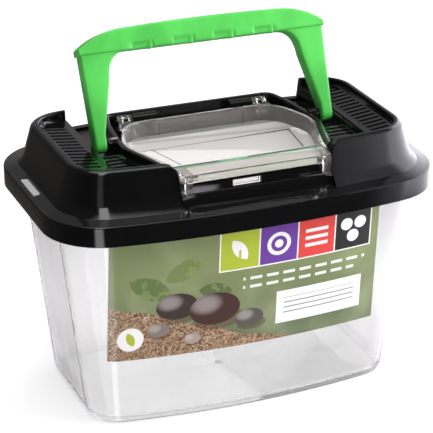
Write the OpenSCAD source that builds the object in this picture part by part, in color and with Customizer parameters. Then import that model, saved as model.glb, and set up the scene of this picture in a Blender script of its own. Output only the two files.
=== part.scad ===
// Small clear pet keeper: a drafted tank, a vented lid that clips on, a feeding
// hatch that hinges in the lid, and a carrying handle that folds over the lid.
// The origin is under the middle of the tank, on the surface it stands on.
// X runs along the width, Y to the back and Z up. All sizes are in millimetres.

/* [Lid] */
// Width of the lid over its skirt
lid_w = 200; // [190:1:220]
// Depth of the lid over its skirt, at the middle of the bowed long sides
lid_d = 130.2; // [127:0.2:142]
// Corner radius of the skirt, seen from above
lid_corner = 31; // [28:0.5:36]
// How far the long sides bow out at the middle
bow = 5.1; // [3:0.1:6.5]
// Thickness of the moulded walls of the lid
lid_wall = 2; // [1.6:0.1:2.4]
// Height of the band that hangs down over the rim of the tank
skirt_h = 10.1; // [7:0.1:14]
// Width of the ledge from the skirt to the foot of the vent blocks, at the ends
ledge_end = 7; // [5.5:0.1:8]
// Width of the same ledge at the front and back
ledge_front = 9.2; // [7:0.1:11]
// How much the ledge climbs from the skirt to the foot of the blocks
ledge_rise = 2.2; // [1:0.1:3.5]

/* [Vent blocks] */
// Height of the blocks above the ledge
block_h = 19.3; // [17:0.1:24]
// How far the end walls lean in over that height
block_lean_end = 7; // [5:0.1:9]
// How far the front and back walls lean in over that height
block_lean_front = 6; // [4:0.1:7]
// Corner radius at the foot of the blocks
block_corner = 25; // [22:0.5:28]
// Width of the flat rim round the vents
rim_w = 3.7; // [3:0.1:4.5]
// Radius of the rounded edge outside the rim
rim_round = 2; // [1:0.1:2.5]
// Thickness of the slotted vent decks
deck_t = 1.8; // [1.4:0.1:2.2]
// Depth of the outer decks below the rim, at the step
outer_deck_drop = 4.5; // [3.5:0.1:5.5]
// How much the outer decks climb from the step to the end walls
outer_deck_climb = 2; // [0.5:0.1:2.5]
// Depth of the inner decks below the rim
inner_deck_drop = 7.7; // [7.2:0.1:8.4]
// Width of one vent slot
slot_w = 2; // [1.4:0.1:2.6]
// Spacing of the vent slots
slot_pitch = 4.5; // [4:0.1:5.5]
// Plain border between the slots and the edges of the decks
slot_border = 2.4; // [1.5:0.1:3.5]

/* [Recess and channel] */
// How far the front wall of the recess lies behind the foot of the blocks
recess_inset = 4.4; // [3.2:0.1:6]
// Play between the front corners of the hatch and the sides of the recess
recess_play = 1.1; // [0.8:0.1:2]
// Radius where the recess sides roll out onto the rims
recess_round = 7; // [4:0.1:9]
// Height of the thicker lower part of the front wall, from the ledge
recess_step_h = 5; // [3:0.1:6]
// Thickness added to the lower part of that wall
recess_step_t = 1.8; // [1:0.1:2.4]
// Play between the legs of the handle and the two back posts
notch_play = 0.8; // [0.5:0.1:2]
// Play under the feet of the handle in their channel
channel_play = 2.1; // [1:0.1:4]
// Front end of the handle channel, ahead of the handle pivot
channel_lead = 9.3; // [8.8:0.1:12]

/* [Hatch] */
// Half width of the hatch along its back edge
hatch_back_hw = 41; // [39:0.5:44]
// Half width of the hatch at its widest
hatch_mid_hw = 49.2; // [46:0.1:52]
// Half width of the hatch along its front edge
hatch_front_hw = 37.5; // [34:0.1:40]
// Distance from the hinge axis to the back edge of the hatch
hatch_setback = 8.5; // [7.5:0.1:11]
// Length of the slanted sides behind the widest part
hatch_shoulder = 25; // [20:0.5:30]
// Length of the straight sides at the widest part
hatch_waist = 9; // [5:0.5:14]
// Length of the slanted sides ahead of the widest part
hatch_neck = 25; // [20:0.5:28]
// How much wider than the front edge the hatch is where those sides end
hatch_flare = 4; // [1:0.5:6]
// Length over which the back corners of the hatch are rounded
hatch_corner = 14; // [8:0.5:15]
// Thickness of the clear walls of the hatch
hatch_wall = 1.6; // [1.3:0.1:2]
// Height of the rim of the hatch over its hinge axis
hatch_rise = 3.1; // [2.5:0.1:4]
// Depth of the sunk tray of the hatch, rim to underside
hatch_depth = 9.6; // [6:0.1:12]
// Length of the raised front land of the hatch
land_len = 14; // [10:0.1:18]
// How far the land lies below the rim of the hatch
land_drop = 0.8; // [0.5:0.1:1.4]
// Depth of the front lip below the rim of the hatch
lip_h = 4.4; // [3.4:0.1:5.4]
// Depth of the two finger tabs below the rim of the hatch
tab_h = 9.3; // [6:0.1:9.6]
// Width of each finger tab
tab_w = 3.6; // [2.5:0.1:5]
// Width of the catch tongue and its window
catch_w = 14; // [10:0.5:18]
// Centre of the catch along the front, from the middle
catch_x = -5; // [-8:0.5:8]
// Height of the window that shows the catch
window_h = 3.7; // [2.5:0.1:4]
// Width of the small bosses on the front corners of the land
boss_w = 3.5; // [2.5:0.1:5]
// Length of those bosses
boss_d = 7.8; // [5:0.1:9]
// How far the sunk panel in the floor of the tray lies behind the land
panel_front = 3; // [2:0.5:6]
// How far it ends ahead of the back edge of the hatch
panel_back = 21; // [16:0.5:28]
// Distance of the two ribs on the back wall of the tray from the middle
rib_x = 22; // [15:0.5:28]

/* [Hinge] */
// Distance of the hinge axis from the inside of the back wall
hinge_inset = 12.7; // [11.5:0.1:14]
// Depth of the hinge axis below the rim
hinge_drop = 7.3; // [6:0.1:8]
// Radius of the round hinge barrels on the lid
barrel_r = 4.1; // [3.4:0.1:4.6]
// Radius of the clear rings on the hatch
ring_r = 3.8; // [3.2:0.1:4.4]
// Width of each ring along the hinge
ring_w = 7.4; // [4:0.1:8]
// Radius of the two hinge pins
hinge_pin_r = 1.6; // [1.2:0.05:1.9]
// Inner end of each barrel, from the middle
barrel_in = 20; // [12:0.5:24]
// Outer end of each barrel, from the middle
barrel_out = 32.4; // [28:0.1:33]

/* [Handle] */
// Distance of the handle pivots behind the widest part of the hatch
pivot_back = 3; // [1:0.1:5]
// Depth of the handle pivots below the rim
pivot_drop = 5; // [4:0.1:5.6]
// Length of the ears that carry the pivots
ear_len = 4.4; // [3.4:0.1:6]
// Thickness of the legs across the width, at the pivots
leg_w = 5.7; // [4.5:0.1:7]
// How far the legs spread outwards by the top
leg_spread = 1.1; // [0:0.1:2]
// How much thicker the legs are under the bar, towards the middle
leg_swell = 6.2; // [3:0.1:8]
// Depth of the legs, front to back
leg_d = 8.8; // [7.6:0.1:9.6]
// Height of the underside of the bar above the pivots
bar_low = 43.3; // [43:0.1:56]
// Height of the bar itself
bar_h = 13; // [10:0.1:16]
// Depth of the bar, front to back
bar_d = 10.4; // [9.8:0.1:12]
// How far the bar stands out past the legs at each end
bar_lip = 0.6; // [0:0.1:0.7]
// Length over which the top of the bar falls away at each end
bar_fall = 26; // [20:1:30]
// Height of the blunt ends of the bar
bar_end_h = 3.2; // [2:0.1:6]
// Radius of the inner corners under the bar
grip_corner = 10.5; // [8:0.5:12]
// Number of finger notches
finger_n = 4; // [3:1:5]
// Spacing of the finger notches
finger_pitch = 20.5; // [17:0.5:21]
// Length of each finger notch
finger_w = 11.5; // [9:0.5:14]
// Height of each finger notch
finger_h = 2.3; // [1.5:0.1:3]
// Slope at the ends of each finger notch
finger_ease = 1.2; // [0.6:0.1:1.4]
// Radius of the two pivot pins
pivot_pin_r = 1.6; // [1.3:0.05:1.8]
// How far the handle leans back where it stands, in degrees
handle_lean = 22.5; // [10:0.5:26]

/* [Tank] */
// Height of the tank to the top of its rim
tank_h = 111.3; // [95:0.1:130]
// Thickness of the clear walls of the tank
tank_wall = 1.8; // [1.4:0.1:2.4]
// Thickness of the tank floor
tank_floor = 2.2; // [1.8:0.1:3]
// Width of the flange round the top of the tank
flange_w = 4.4; // [3.5:0.1:5.2]
// Thickness of that flange
flange_t = 2; // [1.5:0.1:2.5]
// How far the end walls lean in from the flange to the floor
tank_lean_end = 12.2; // [8:0.1:16]
// How far the front and back walls lean in from the flange to the floor
tank_lean_front = 10.8; // [7:0.1:13]
// Corner radius at the top of the tank
tank_corner_top = 28; // [24:0.5:30]
// Corner radius at the floor of the tank
tank_corner_floor = 17.8; // [15:0.1:22]
// Radius of the rounded edge under the tank
tank_foot_round = 3.4; // [2:0.1:5]
// Length of the two locating tabs on the end flanges
key_len = 22; // [14:0.5:26]
// Thickness of the locating tabs
key_t = 3.4; // [2.4:0.1:3.6]

/* [Label] */
// Width of the printed front sheet
label_w = 139; // [100:1:142]
// Height of the printed front sheet
label_h = 67; // [50:0.5:80]
// Distance from the flange of the tank down to the top of the sheet
label_drop = 5.8; // [2:0.1:12]
// Sideways shift of the sheet
label_shift = -4.5; // [-5:0.5:5]
// Thickness of the sheet
label_t = 0.3; // [0.2:0.05:0.5]

/* [Fits] */
// Play between the lid and the flange of the tank
skirt_gap = 1.4; // [0.8:0.1:2]
// Play between parts that lie next to each other
seat_gap = 0.2; // [0.1:0.05:0.35]
// Play round the hatch in its opening
hatch_gap = 0.6; // [0.4:0.05:0.8]
// Radial play of the pins in their bores
pin_play = 0.05; // [0.02:0.01:0.08]

/* [Hidden] */
CURVE = 48;        // segments of a full circle
BOW_STEPS = 5;     // points along half of a bowed side
CORNER_STEPS = 11; // points round a corner
EASE_STEPS = 6;    // steps of a small eased corner
SKIN = 0.01;       // thickness of a section that only spans a hull
BITE = 1;          // how far a cut runs past the face it cuts
FAR = 300;         // reach of a cut that only has to clear the whole lid
EDGE_R = 0.8;      // radius of the small edge roundings
SUNK = 0.5;        // depth of a shallow sunk panel, and of small overlaps
SIDE_PLAY = 0.3;   // play at the ends of the catch and of the pivot pins
PIN_FLOOR = 0.9;   // wall left behind the bore of a pivot pin
EAR_TRIM = 1.8;    // how much smaller than the foot of a leg an ear is

// Lid, from the skirt inwards and upwards
lid_hw = lid_w / 2;
lid_hd = lid_d / 2;
seat_z = tank_h + seat_gap;
skirt_top = seat_z + lid_wall;
foot_z = skirt_top + ledge_rise;
foot_hw = lid_hw - ledge_end;
foot_hd = lid_hd - ledge_front;
rim_z = foot_z + block_h;
rim_hw = foot_hw - block_lean_end - rim_w;
rim_hd = foot_hd - block_lean_front - rim_w;
rim_corner = block_corner - block_lean_front - rim_w;
inner_deck_z = rim_z - inner_deck_drop;
outer_deck_z = rim_z - outer_deck_drop;

// Hinge
hinge_y = rim_hd - hinge_inset;
hinge_z = rim_z - hinge_drop;
ring_in = barrel_out + 2 * seat_gap;
ring_out = ring_in + ring_w;

// Front wall of the recess and the hatch whose lip hangs over it
recess_y = -foot_hd + recess_inset;
recess_back = recess_y + lid_wall;
recess_hw = hatch_front_hw + recess_play;
step_top = foot_z + recess_step_h;
hatch_front = recess_y + SUNK - hatch_wall;
hatch_back = hinge_y - hatch_setback;
hatch_top = hinge_z + hatch_rise;
land_z = hatch_top - land_drop;
land_back = hatch_front + land_len;
lip_low = hatch_top - lip_h;
recess_top = lip_low - seat_gap;
mid_back = hatch_back - hatch_shoulder;
mid_front = mid_back - hatch_waist;
neck_y = mid_front - hatch_neck;

// Upright frame round the hatch
bezel_wall = 1.2 * lid_wall;
bezel_z = hatch_top + 0.75 * EDGE_R;
bezel_back = hinge_y + ring_r + 1.5 * seat_gap;

// Handle
pivot_y = mid_back + pivot_back;
pivot_z = rim_z - pivot_drop;
ear_in = hatch_mid_hw + hatch_gap;
ear_out = ear_in + bezel_wall + ear_len;
leg_in = ear_out + 2 * seat_gap;
leg_out = leg_in + leg_w;
pin_end = ear_in + bezel_wall + PIN_FLOOR;
bar_top = bar_low + bar_h;
bar_end = leg_out + leg_spread + bar_lip;

// Channel that the handle folds into
notch_hw = leg_out + leg_spread + notch_play;
deck_step_x = notch_hw + lid_wall;
channel_z = min(pivot_z - leg_d / 2 - channel_play, hinge_z - ring_r - 2 * seat_gap);
channel_front = pivot_y - channel_lead;

// Tank
flange_hw = lid_hw - lid_wall - skirt_gap;
flange_hd = lid_hd - lid_wall - skirt_gap;
flange_corner = max(tank_corner_top + flange_w, lid_corner - lid_wall - skirt_gap);
top_hw = flange_hw - flange_w;
top_hd = flange_hd - flange_w;
floor_hw = top_hw - tank_lean_end;
floor_hd = top_hd - tank_lean_front;
key_out = lid_hw - lid_wall - seat_gap;
label_top = tank_h - flange_t - label_drop;

// A quarter of the outline seen from above, from the middle of the front round
// to the end: a shallow arc of the bowed side, then the tangent corner arc.
function quarter(hw, hd, r) =
    let (cx = hw - r,
         cy = hd - bow - r,
         bow_r = (cx * cx + (cy - hd) * (cy - hd) - r * r) / (2 * bow),
         turn = atan2(cx, cy + bow_r - hd))
    concat([for (i = [0 : BOW_STEPS - 1])
                let (a = turn * i / BOW_STEPS)
                [bow_r * sin(a), hd - bow_r + bow_r * cos(a)]],
           [for (i = [0 : CORNER_STEPS])
                let (a = turn + (90 - turn) * i / CORNER_STEPS)
                [cx + r * sin(a), cy + r * cos(a)]]);

// The whole outline: half width, half depth at the middle, corner radius
function plan(hw, hd, r) =
    let (q = quarter(hw, hd, r), n = len(q) - 1)
    concat(q,
           [for (i = [n : -1 : 0]) [q[i].x, -q[i].y]],
           [for (i = [1 : n]) [-q[i].x, -q[i].y]],
           [for (i = [n : -1 : 1]) [-q[i].x, q[i].y]]);

// Both halves of an outline given by its right half, front to back
function mirrored(half) =
    concat(half, [for (i = [len(half) - 1 : -1 : 0]) [-half[i].x, half[i].y]]);

// Points on a curve that leaves a towards b and arrives at c from b
function curve(a, b, c, steps = 10) =
    [for (i = [0 : steps])
        let (t = i / steps)
        (1 - t) * (1 - t) * a + 2 * t * (1 - t) * b + t * t * c];

// An outline with its corners eased; each corner is [x, y, length of the easing]
function eased(p) =
    let (n = len(p), at = [for (c = p) [c.x, c.y]])
    [for (i = [0 : n - 1])
        let (b = at[i], a = at[(i + n - 1) % n] - b, c = at[(i + 1) % n] - b, d = p[i].z)
        each d == 0 ? [b] : curve(b + a * d / norm(a), b, b + c * d / norm(c), EASE_STEPS)];

// The same for both halves, given the right one from front to back
function eased_halves(half) =
    eased(concat(half, [for (i = [len(half) - 1 : -1 : 0]) [-half[i].x, half[i].y, half[i].z]]));

waist_ease = hatch_waist / 2 - EDGE_R;
hatch_outline = eased_halves([[hatch_front_hw, hatch_front, 0],
                              [hatch_front_hw + hatch_flare, neck_y, waist_ease],
                              [hatch_mid_hw, mid_front, waist_ease],
                              [hatch_mid_hw, mid_back, waist_ease],
                              [hatch_back_hw, hatch_back, hatch_corner]]);

bezel_outline = eased_halves([[hatch_front_hw + hatch_gap, hatch_front - bezel_wall, 0],
                              [hatch_front_hw + hatch_flare + hatch_gap, neck_y, waist_ease],
                              [hatch_mid_hw + hatch_gap, mid_front, waist_ease],
                              [hatch_mid_hw + hatch_gap, mid_back, waist_ease],
                              [hatch_mid_hw - bezel_wall, hatch_back, waist_ease],
                              [ring_out + 2 * hatch_wall, bezel_back, 2 * hatch_wall]]);

// A thin slice of the outline at height z, to be spanned by a hull
module ring(hw, hd, r, z) {
    translate([0, 0, z]) linear_extrude(SKIN) polygon(plan(hw, hd, r));
}

module both_sides() {
    children();
    mirror([1, 0, 0]) children();
}

// A rod along X from x0 to x1, centred at y and z
module rod(x0, x1, y, z, r) {
    translate([x0, y, z]) rotate([0, 90, 0]) cylinder(h = x1 - x0, r = r, $fn = CURVE);
}

// A box given by its low and high corners
module box(low, high) {
    translate(low) cube(high - low);
}

// ---------------------------------------------------------------- tank

// The solid form of the tank down to its rounded foot, shrunk by t
module tank_form(t, low, high) {
    hull() {
        for (a = [0 : 30 : 90])
            ring(floor_hw - t - tank_foot_round * (1 - sin(a)),
                 floor_hd - t - tank_foot_round * (1 - sin(a)),
                 max(1, tank_corner_floor - t - tank_foot_round * (1 - sin(a))),
                 low + tank_foot_round * (1 - cos(a)));
        ring(top_hw - t, top_hd - t, tank_corner_top - t, high - SKIN);
    }
}

module tank() {
    rim_low = tank_h - flange_t;
    color([0.86, 0.87, 0.88, 0.35]) {
        difference() {
            union() {
                tank_form(0, 0, tank_h - SKIN);
                translate([0, 0, rim_low]) linear_extrude(flange_t)
                    polygon(plan(flange_hw, flange_hd, flange_corner));
            }
            tank_form(tank_wall, tank_floor, tank_h + BITE);
        }
        both_sides()
            box([key_out - key_t, -key_len / 2, rim_low + SKIN],
                [key_out, key_len / 2, skirt_top + ledge_rise / 2]);
    }
}

// The printed sheet on the outside of the front wall
module front_label() {
    color([0.55, 0.62, 0.25])
        intersection() {
            difference() {
                tank_form(-label_t - seat_gap / 2, 0, tank_h);
                tank_form(-seat_gap / 2, 0, tank_h);
            }
            box([label_shift - label_w / 2, -lid_hd, label_top - label_h],
                [label_shift + label_w / 2, 0, label_top]);
        }
}

// ---------------------------------------------------------------- lid

// Outside of the two vent blocks, before the recess parts them
module block_form() {
    slope_end = block_lean_end / block_h;
    slope_front = block_lean_front / block_h;
    hull() {
        ring(foot_hw, foot_hd, block_corner, seat_z + SKIN);
        for (a = [0 : 30 : 90]) {
            down = rim_round * (1 - sin(a));
            in = rim_round * (1 - cos(a));
            ring(foot_hw - slope_end * (block_h - down) - in,
                 foot_hd - slope_front * (block_h - down) - in,
                 block_corner - block_lean_front - in,
                 rim_z - down - SKIN);
        }
    }
}

// Space inside the walls of the blocks, open below
module block_hollow() {
    hull() {
        ring(foot_hw - lid_wall, foot_hd - lid_wall, block_corner - lid_wall, seat_z - BITE);
        ring(rim_hw, rim_hd, rim_corner, rim_z + BITE);
    }
}

// Ledge between the skirt and the blocks
module ledge_form() {
    hull() {
        ring(lid_hw, lid_hd, lid_corner, seat_z);
        ring(lid_hw, lid_hd, lid_corner, skirt_top - EDGE_R);
        ring(lid_hw - EDGE_R, lid_hd - EDGE_R, lid_corner - EDGE_R, skirt_top - SKIN);
        ring(foot_hw, foot_hd, block_corner, foot_z - SKIN);
    }
}

module skirt() {
    translate([0, 0, skirt_top - skirt_h])
        linear_extrude(skirt_h - lid_wall + SKIN)
            difference() {
                polygon(plan(lid_hw, lid_hd, lid_corner));
                polygon(plan(lid_hw - lid_wall, lid_hd - lid_wall, lid_corner - lid_wall));
            }
}

// Slotted decks, the steps beside them and the floor of the handle channel
module decks() {
    both_sides() {
        translate([0, lid_hd, 0]) rotate([90, 0, 0]) linear_extrude(lid_d)
            polygon([[deck_step_x, outer_deck_z - deck_t],
                     [lid_hw, outer_deck_z + outer_deck_climb * 2 - deck_t],
                     [lid_hw, outer_deck_z + outer_deck_climb * 2],
                     [deck_step_x, outer_deck_z]]);
        box([hatch_front_hw, -lid_hd, inner_deck_z - deck_t],
            [deck_step_x, channel_front, inner_deck_z]);
        box([deck_step_x - lid_wall, -lid_hd, inner_deck_z - deck_t],
            [deck_step_x, channel_front, outer_deck_z]);
        box([notch_hw, channel_front - lid_wall, channel_z - lid_wall],
            [deck_step_x, lid_hd, outer_deck_z]);
        box([hatch_front_hw, channel_front - lid_wall, channel_z - lid_wall],
            [deck_step_x, channel_front, inner_deck_z]);
    }
    box([-deck_step_x, channel_front - lid_wall, channel_z - lid_wall],
        [deck_step_x, lid_hd, channel_z]);
}

// Upright frame round the hatch
module bezel() {
    translate([0, 0, channel_z - lid_wall])
        linear_extrude(bezel_z - channel_z + lid_wall)
            difference() {
                offset(delta = bezel_wall) polygon(bezel_outline);
                polygon(bezel_outline);
            }
}

// Front wall of the recess, its thicker foot and the cheeks beside it
module recess_wall() {
    box([-recess_hw - lid_wall, recess_y, seat_z], [recess_hw + lid_wall, recess_back, recess_top]);
    box([-recess_hw - lid_wall, recess_y - recess_step_t, seat_z],
        [recess_hw + lid_wall, recess_y, step_top]);
    both_sides()
        box([recess_hw, -foot_hd, seat_z], [recess_hw + lid_wall, -rim_hd + BITE, rim_z]);
}

// The gap between the blocks ahead of the hatch, with rolled upper sides
module recess_space() {
    r = recess_round;
    side = concat(curve([recess_hw, rim_z - r], [recess_hw, rim_z], [recess_hw + r, rim_z]),
                  [[recess_hw + r, rim_z + BITE]]);
    // each cut starts at a y, reaches to the front and is open above a z
    for (cut = [[recess_y - recess_step_t, foot_z], [recess_y, step_top], [0, recess_top]])
        translate([0, cut[0], 0]) rotate([90, 0, 0]) linear_extrude(lid_hd)
            polygon(mirrored(concat([[recess_hw, cut[1]]], side)));
}

// Rows of vent slots through both kinds of deck
module vents() {
    rows = floor(2 * (rim_hd - bow - slot_border) / slot_pitch);
    first = -slot_pitch * (rows - 1) / 2;
    intersection() {
        both_sides()
            for (i = [0 : rows - 1]) {
                y = first + i * slot_pitch;
                box([deck_step_x + slot_border, y - slot_w / 2, inner_deck_z],
                    [lid_hw, y + slot_w / 2, rim_z + BITE]);
                // the inner rows run up to a border along the bezel
                if (y + slot_w / 2 < channel_front - lid_wall / 2)
                    difference() {
                        box([hatch_front_hw, y - slot_w / 2, channel_z],
                            [deck_step_x - lid_wall - SUNK, y + slot_w / 2, inner_deck_z + BITE]);
                        linear_extrude(FAR)
                            offset(delta = bezel_wall + slot_border) polygon(bezel_outline);
                    }
            }
        linear_extrude(FAR)
            polygon(plan(rim_hw - slot_border, rim_hd - slot_border / 2, rim_corner - slot_border / 2));
    }
}

// Barrels on the hinge axis, each with a pin that carries a ring of the hatch
module hinge_barrels() {
    both_sides() {
        rod(barrel_in, barrel_out, hinge_y, hinge_z, barrel_r);
        rod(barrel_out - SKIN, ring_out + 2 * seat_gap, hinge_y, hinge_z, hinge_pin_r);
        box([barrel_in, hinge_y, channel_z - SKIN], [barrel_out, bezel_back + BITE, hinge_z]);
    }
}

// Ears on the bezel that carry the handle
module ears() {
    ear_r = leg_d / 2 - EAR_TRIM;
    both_sides()
        difference() {
            union() {
                rod(ear_in + BITE, ear_out, pivot_y, pivot_z, ear_r);
                box([ear_in + BITE, pivot_y - ear_r, channel_z - SKIN],
                    [ear_out, pivot_y + ear_r, pivot_z]);
            }
            rod(pin_end - SIDE_PLAY, ear_out + BITE, pivot_y, pivot_z, pivot_pin_r + pin_play);
        }
}

module lid() {
    color([0.08, 0.08, 0.09]) {
        difference() {
            union() {
                skirt();
                difference() {
                    union() {
                        ledge_form();
                        block_form();
                    }
                    difference() {
                        block_hollow();
                        decks();
                        bezel();
                        recess_wall();
                    }
                }
            }
            recess_space();
            vents();
            // opening under the hatch
            translate([0, 0, seat_z - BITE]) linear_extrude(FAR)
                intersection() {
                    offset(delta = hatch_gap) polygon(hatch_outline);
                    translate([-lid_hw, recess_back]) square([lid_w, lid_d]);
                }
            // clear space over the bezel
            translate([0, 0, bezel_z]) linear_extrude(FAR)
                offset(delta = bezel_wall) polygon(bezel_outline);
            // notch between the back posts, behind the bezel
            difference() {
                box([-notch_hw, hinge_y, channel_z], [notch_hw, lid_d, FAR]);
                linear_extrude(FAR) offset(delta = bezel_wall) polygon(bezel_outline);
            }
            // window for the catch
            box([catch_x - catch_w / 2 - SIDE_PLAY, -lid_hd, step_top],
                [catch_x + catch_w / 2 + SIDE_PLAY, recess_back + BITE, step_top + window_h]);
            // slots for the locating tabs of the tank
            both_sides()
                box([key_out - key_t - seat_gap, -key_len / 2 - seat_gap, seat_z - BITE],
                    [key_out + seat_gap, key_len / 2 + seat_gap, foot_z + BITE]);
        }
        hinge_barrels();
        ears();
    }
}

// ---------------------------------------------------------------- hatch

module hatch_plan(inset) {
    offset(delta = -inset) polygon(hatch_outline);
}

module hatch() {
    base = hatch_top - hatch_depth;
    tongue_front = recess_back + SUNK;
    color([0.9, 0.92, 0.92, 0.35]) {
        difference() {
            union() {
                // tray behind the land
                intersection() {
                    translate([0, 0, base]) linear_extrude(hatch_depth) hatch_plan(0);
                    box([-lid_hw, land_back - hatch_wall, 0], [lid_hw, lid_hd, FAR]);
                }
                // land, its side walls and the front lip
                intersection() {
                    translate([0, 0, lip_low]) linear_extrude(lip_h) hatch_plan(0);
                    box([-lid_hw, -lid_hd, 0], [lid_hw, land_back, FAR]);
                }
            }
            // hollow of the tray
            intersection() {
                translate([0, 0, base + hatch_wall]) linear_extrude(FAR) hatch_plan(hatch_wall);
                box([-lid_hw, land_back, 0], [lid_hw, lid_hd, FAR]);
            }
            // space over the land, between the side walls
            intersection() {
                translate([0, 0, land_z]) linear_extrude(FAR) hatch_plan(hatch_wall);
                box([-lid_hw, -lid_hd, 0], [lid_hw, land_back + BITE, FAR]);
            }
            box([-hatch_front_hw + 3 * hatch_wall, hatch_front - BITE, land_z],
                [hatch_front_hw - 3 * hatch_wall, land_back, FAR]);
            // space under the land, behind the lip
            intersection() {
                linear_extrude(land_z - hatch_wall) hatch_plan(hatch_wall);
                box([-lid_hw, -lid_hd, 0], [lid_hw, land_back - hatch_wall, FAR]);
            }
            // shallow sunk panel in the floor of the tray
            translate([0, 0, base + hatch_wall - SUNK]) linear_extrude(BITE)
                polygon(mirrored([[hatch_front_hw - 2 * hatch_flare, land_back + panel_front],
                                  [hatch_front_hw - hatch_flare, hatch_back - panel_back]]));
        }
        // corner bosses, finger tabs, ribs and hinge rings
        both_sides() {
            box([hatch_front_hw - SUNK - boss_w, hatch_front + SUNK, land_z - SKIN],
                [hatch_front_hw - SUNK, hatch_front + SUNK + boss_d, hatch_top + SUNK]);
            box([hatch_front_hw - SUNK - tab_w, hatch_front - hatch_wall, hatch_top - tab_h],
                [hatch_front_hw - SUNK, hatch_front + SKIN, land_z]);
            box([rib_x, hatch_back - 2 * hatch_wall, base + BITE],
                [rib_x + hatch_wall, hatch_back - BITE, hatch_top - BITE]);
            difference() {
                union() {
                    rod(ring_in, ring_out, hinge_y, hinge_z, ring_r);
                    box([ring_in, hatch_back - BITE, hinge_z - ring_r / 2],
                        [ring_out, hinge_y, hinge_z + ring_r / 2]);
                }
                rod(ring_in - BITE, ring_out + BITE, hinge_y, hinge_z, hinge_pin_r + pin_play);
            }
        }
        // catch tongue behind the window
        box([catch_x - catch_w / 2, tongue_front, step_top + seat_gap],
            [catch_x + catch_w / 2, tongue_front + hatch_wall, land_z - SKIN]);
    }
}

// ---------------------------------------------------------------- handle

// Inner side of a leg and the underside of the bar, seen from the front about the
// pivots. The foot is upright where it turns beside the ear.
leg_inside = let (x = leg_in - leg_swell)
    concat([[leg_in, -leg_d], [leg_in, leg_d / 2]],
           curve([x, bar_low - 1.2 * grip_corner], [x - EDGE_R, bar_low],
                 [x - grip_corner, bar_low]),
           [[0, bar_low]]);

// Front view of the bar: straight on top, falling away to its ends
module bar_outline() {
    falls = curve([bar_end, bar_low + bar_end_h], [bar_end - 0.4 * bar_fall, bar_top],
                  [bar_end - bar_fall, bar_top], 12);
    polygon(mirrored(concat([[0, bar_low], [bar_end - bar_lip / 2, bar_low]], falls,
                            [[0, bar_top]])));
}

module leg_outline() {
    n = len(leg_inside) - 1;
    top = bar_low + bar_end_h / 2;
    polygon(concat([[leg_out, -leg_d], [leg_out + leg_spread, top], [0, top]],
                   [for (i = [n : -1 : 0]) leg_inside[i]]));
}

module handle_upright() {
    difference() {
        union() {
            both_sides()
                intersection() {
                    rotate([90, 0, 0]) linear_extrude(leg_d, center = true) leg_outline();
                    union() {
                        rod(0, lid_hw, 0, 0, leg_d / 2);
                        box([0, -leg_d / 2, 0], [lid_hw, leg_d / 2, bar_top]);
                    }
                }
            rotate([90, 0, 0]) linear_extrude(bar_d, center = true) bar_outline();
        }
        // finger notches along the front edge of the grip
        for (i = [0 : finger_n - 1])
            translate([(i - (finger_n - 1) / 2) * finger_pitch, 0, bar_low])
                rotate([90, 0, 0]) linear_extrude(bar_d)
                    polygon(mirrored([[finger_w / 2, -BITE],
                                      [finger_w / 2, finger_h - finger_ease],
                                      [finger_w / 2 - finger_ease, finger_h]]));
    }
    both_sides() rod(pin_end, leg_in + BITE, 0, 0, pivot_pin_r);
}

module handle() {
    color([0.3, 0.8, 0.3])
        translate([0, pivot_y, pivot_z]) rotate([-handle_lean, 0, 0]) handle_upright();
}

tank();
front_label();
lid();
hatch();
handle();
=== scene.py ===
"""Dresses a small clear pet keeper: tank, front sheet, vented lid, hatch, handle and studio."""

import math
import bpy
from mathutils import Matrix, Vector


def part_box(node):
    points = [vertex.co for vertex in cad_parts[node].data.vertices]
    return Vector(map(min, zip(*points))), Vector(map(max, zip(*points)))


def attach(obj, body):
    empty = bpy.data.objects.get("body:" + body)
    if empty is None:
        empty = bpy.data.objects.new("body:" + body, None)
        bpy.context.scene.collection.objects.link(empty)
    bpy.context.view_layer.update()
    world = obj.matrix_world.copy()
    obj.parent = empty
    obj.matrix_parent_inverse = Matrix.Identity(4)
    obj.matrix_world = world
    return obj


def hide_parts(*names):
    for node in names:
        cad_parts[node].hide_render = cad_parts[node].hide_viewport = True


bl_info = {
    "name": "Pet keeper",
    "version": (1, 0, 0),
    "blender": (4, 5, 0),
    "location": "3D View > Sidebar > Pet keeper",
    "description": "Builds a clear pet keeper with a vented lid, a clear hatch and a handle",
    "category": "Add Mesh",
}

import bmesh
import bpy
import numpy as np
from bpy.props import FloatProperty, FloatVectorProperty, IntProperty, PointerProperty
from mathutils import Matrix, Vector

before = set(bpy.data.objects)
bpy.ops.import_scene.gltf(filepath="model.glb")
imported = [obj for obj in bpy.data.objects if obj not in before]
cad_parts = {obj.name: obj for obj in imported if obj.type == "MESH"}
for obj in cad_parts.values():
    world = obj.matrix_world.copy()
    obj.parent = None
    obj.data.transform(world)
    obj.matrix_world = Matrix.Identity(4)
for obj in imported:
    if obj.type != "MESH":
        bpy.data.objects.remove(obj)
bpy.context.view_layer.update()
MM = 0.001
QUARTER_TURN = math.pi / 2


# ---------------------------------------------------------------- sizes and colours


def length(name, about, value, low=0.0):
    """A size in millimetres, the unit of the part's plans."""
    return FloatProperty(name=name, description=about, default=value, min=low, precision=2)


def plan(name, about, value):
    """Half width, half depth and corner radius of a bowed outline, in millimetres."""
    about = f"Half width, half depth and corner radius {about}"
    return FloatVectorProperty(name=name, description=about, default=value, size=3, precision=2)


def pair(name, about, value):
    """Two sizes in millimetres that belong together."""
    return FloatVectorProperty(name=name, description=about, default=value, size=2, precision=2)


def factor(name, about, value):
    """A share or a strength."""
    return FloatProperty(name=name, description=about, default=value, min=0.0, subtype="FACTOR")


def angle(name, about, degrees):
    """An angle, with its default given in degrees."""
    return FloatProperty(
        name=name, description=about, default=math.radians(degrees), subtype="ANGLE"
    )


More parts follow.
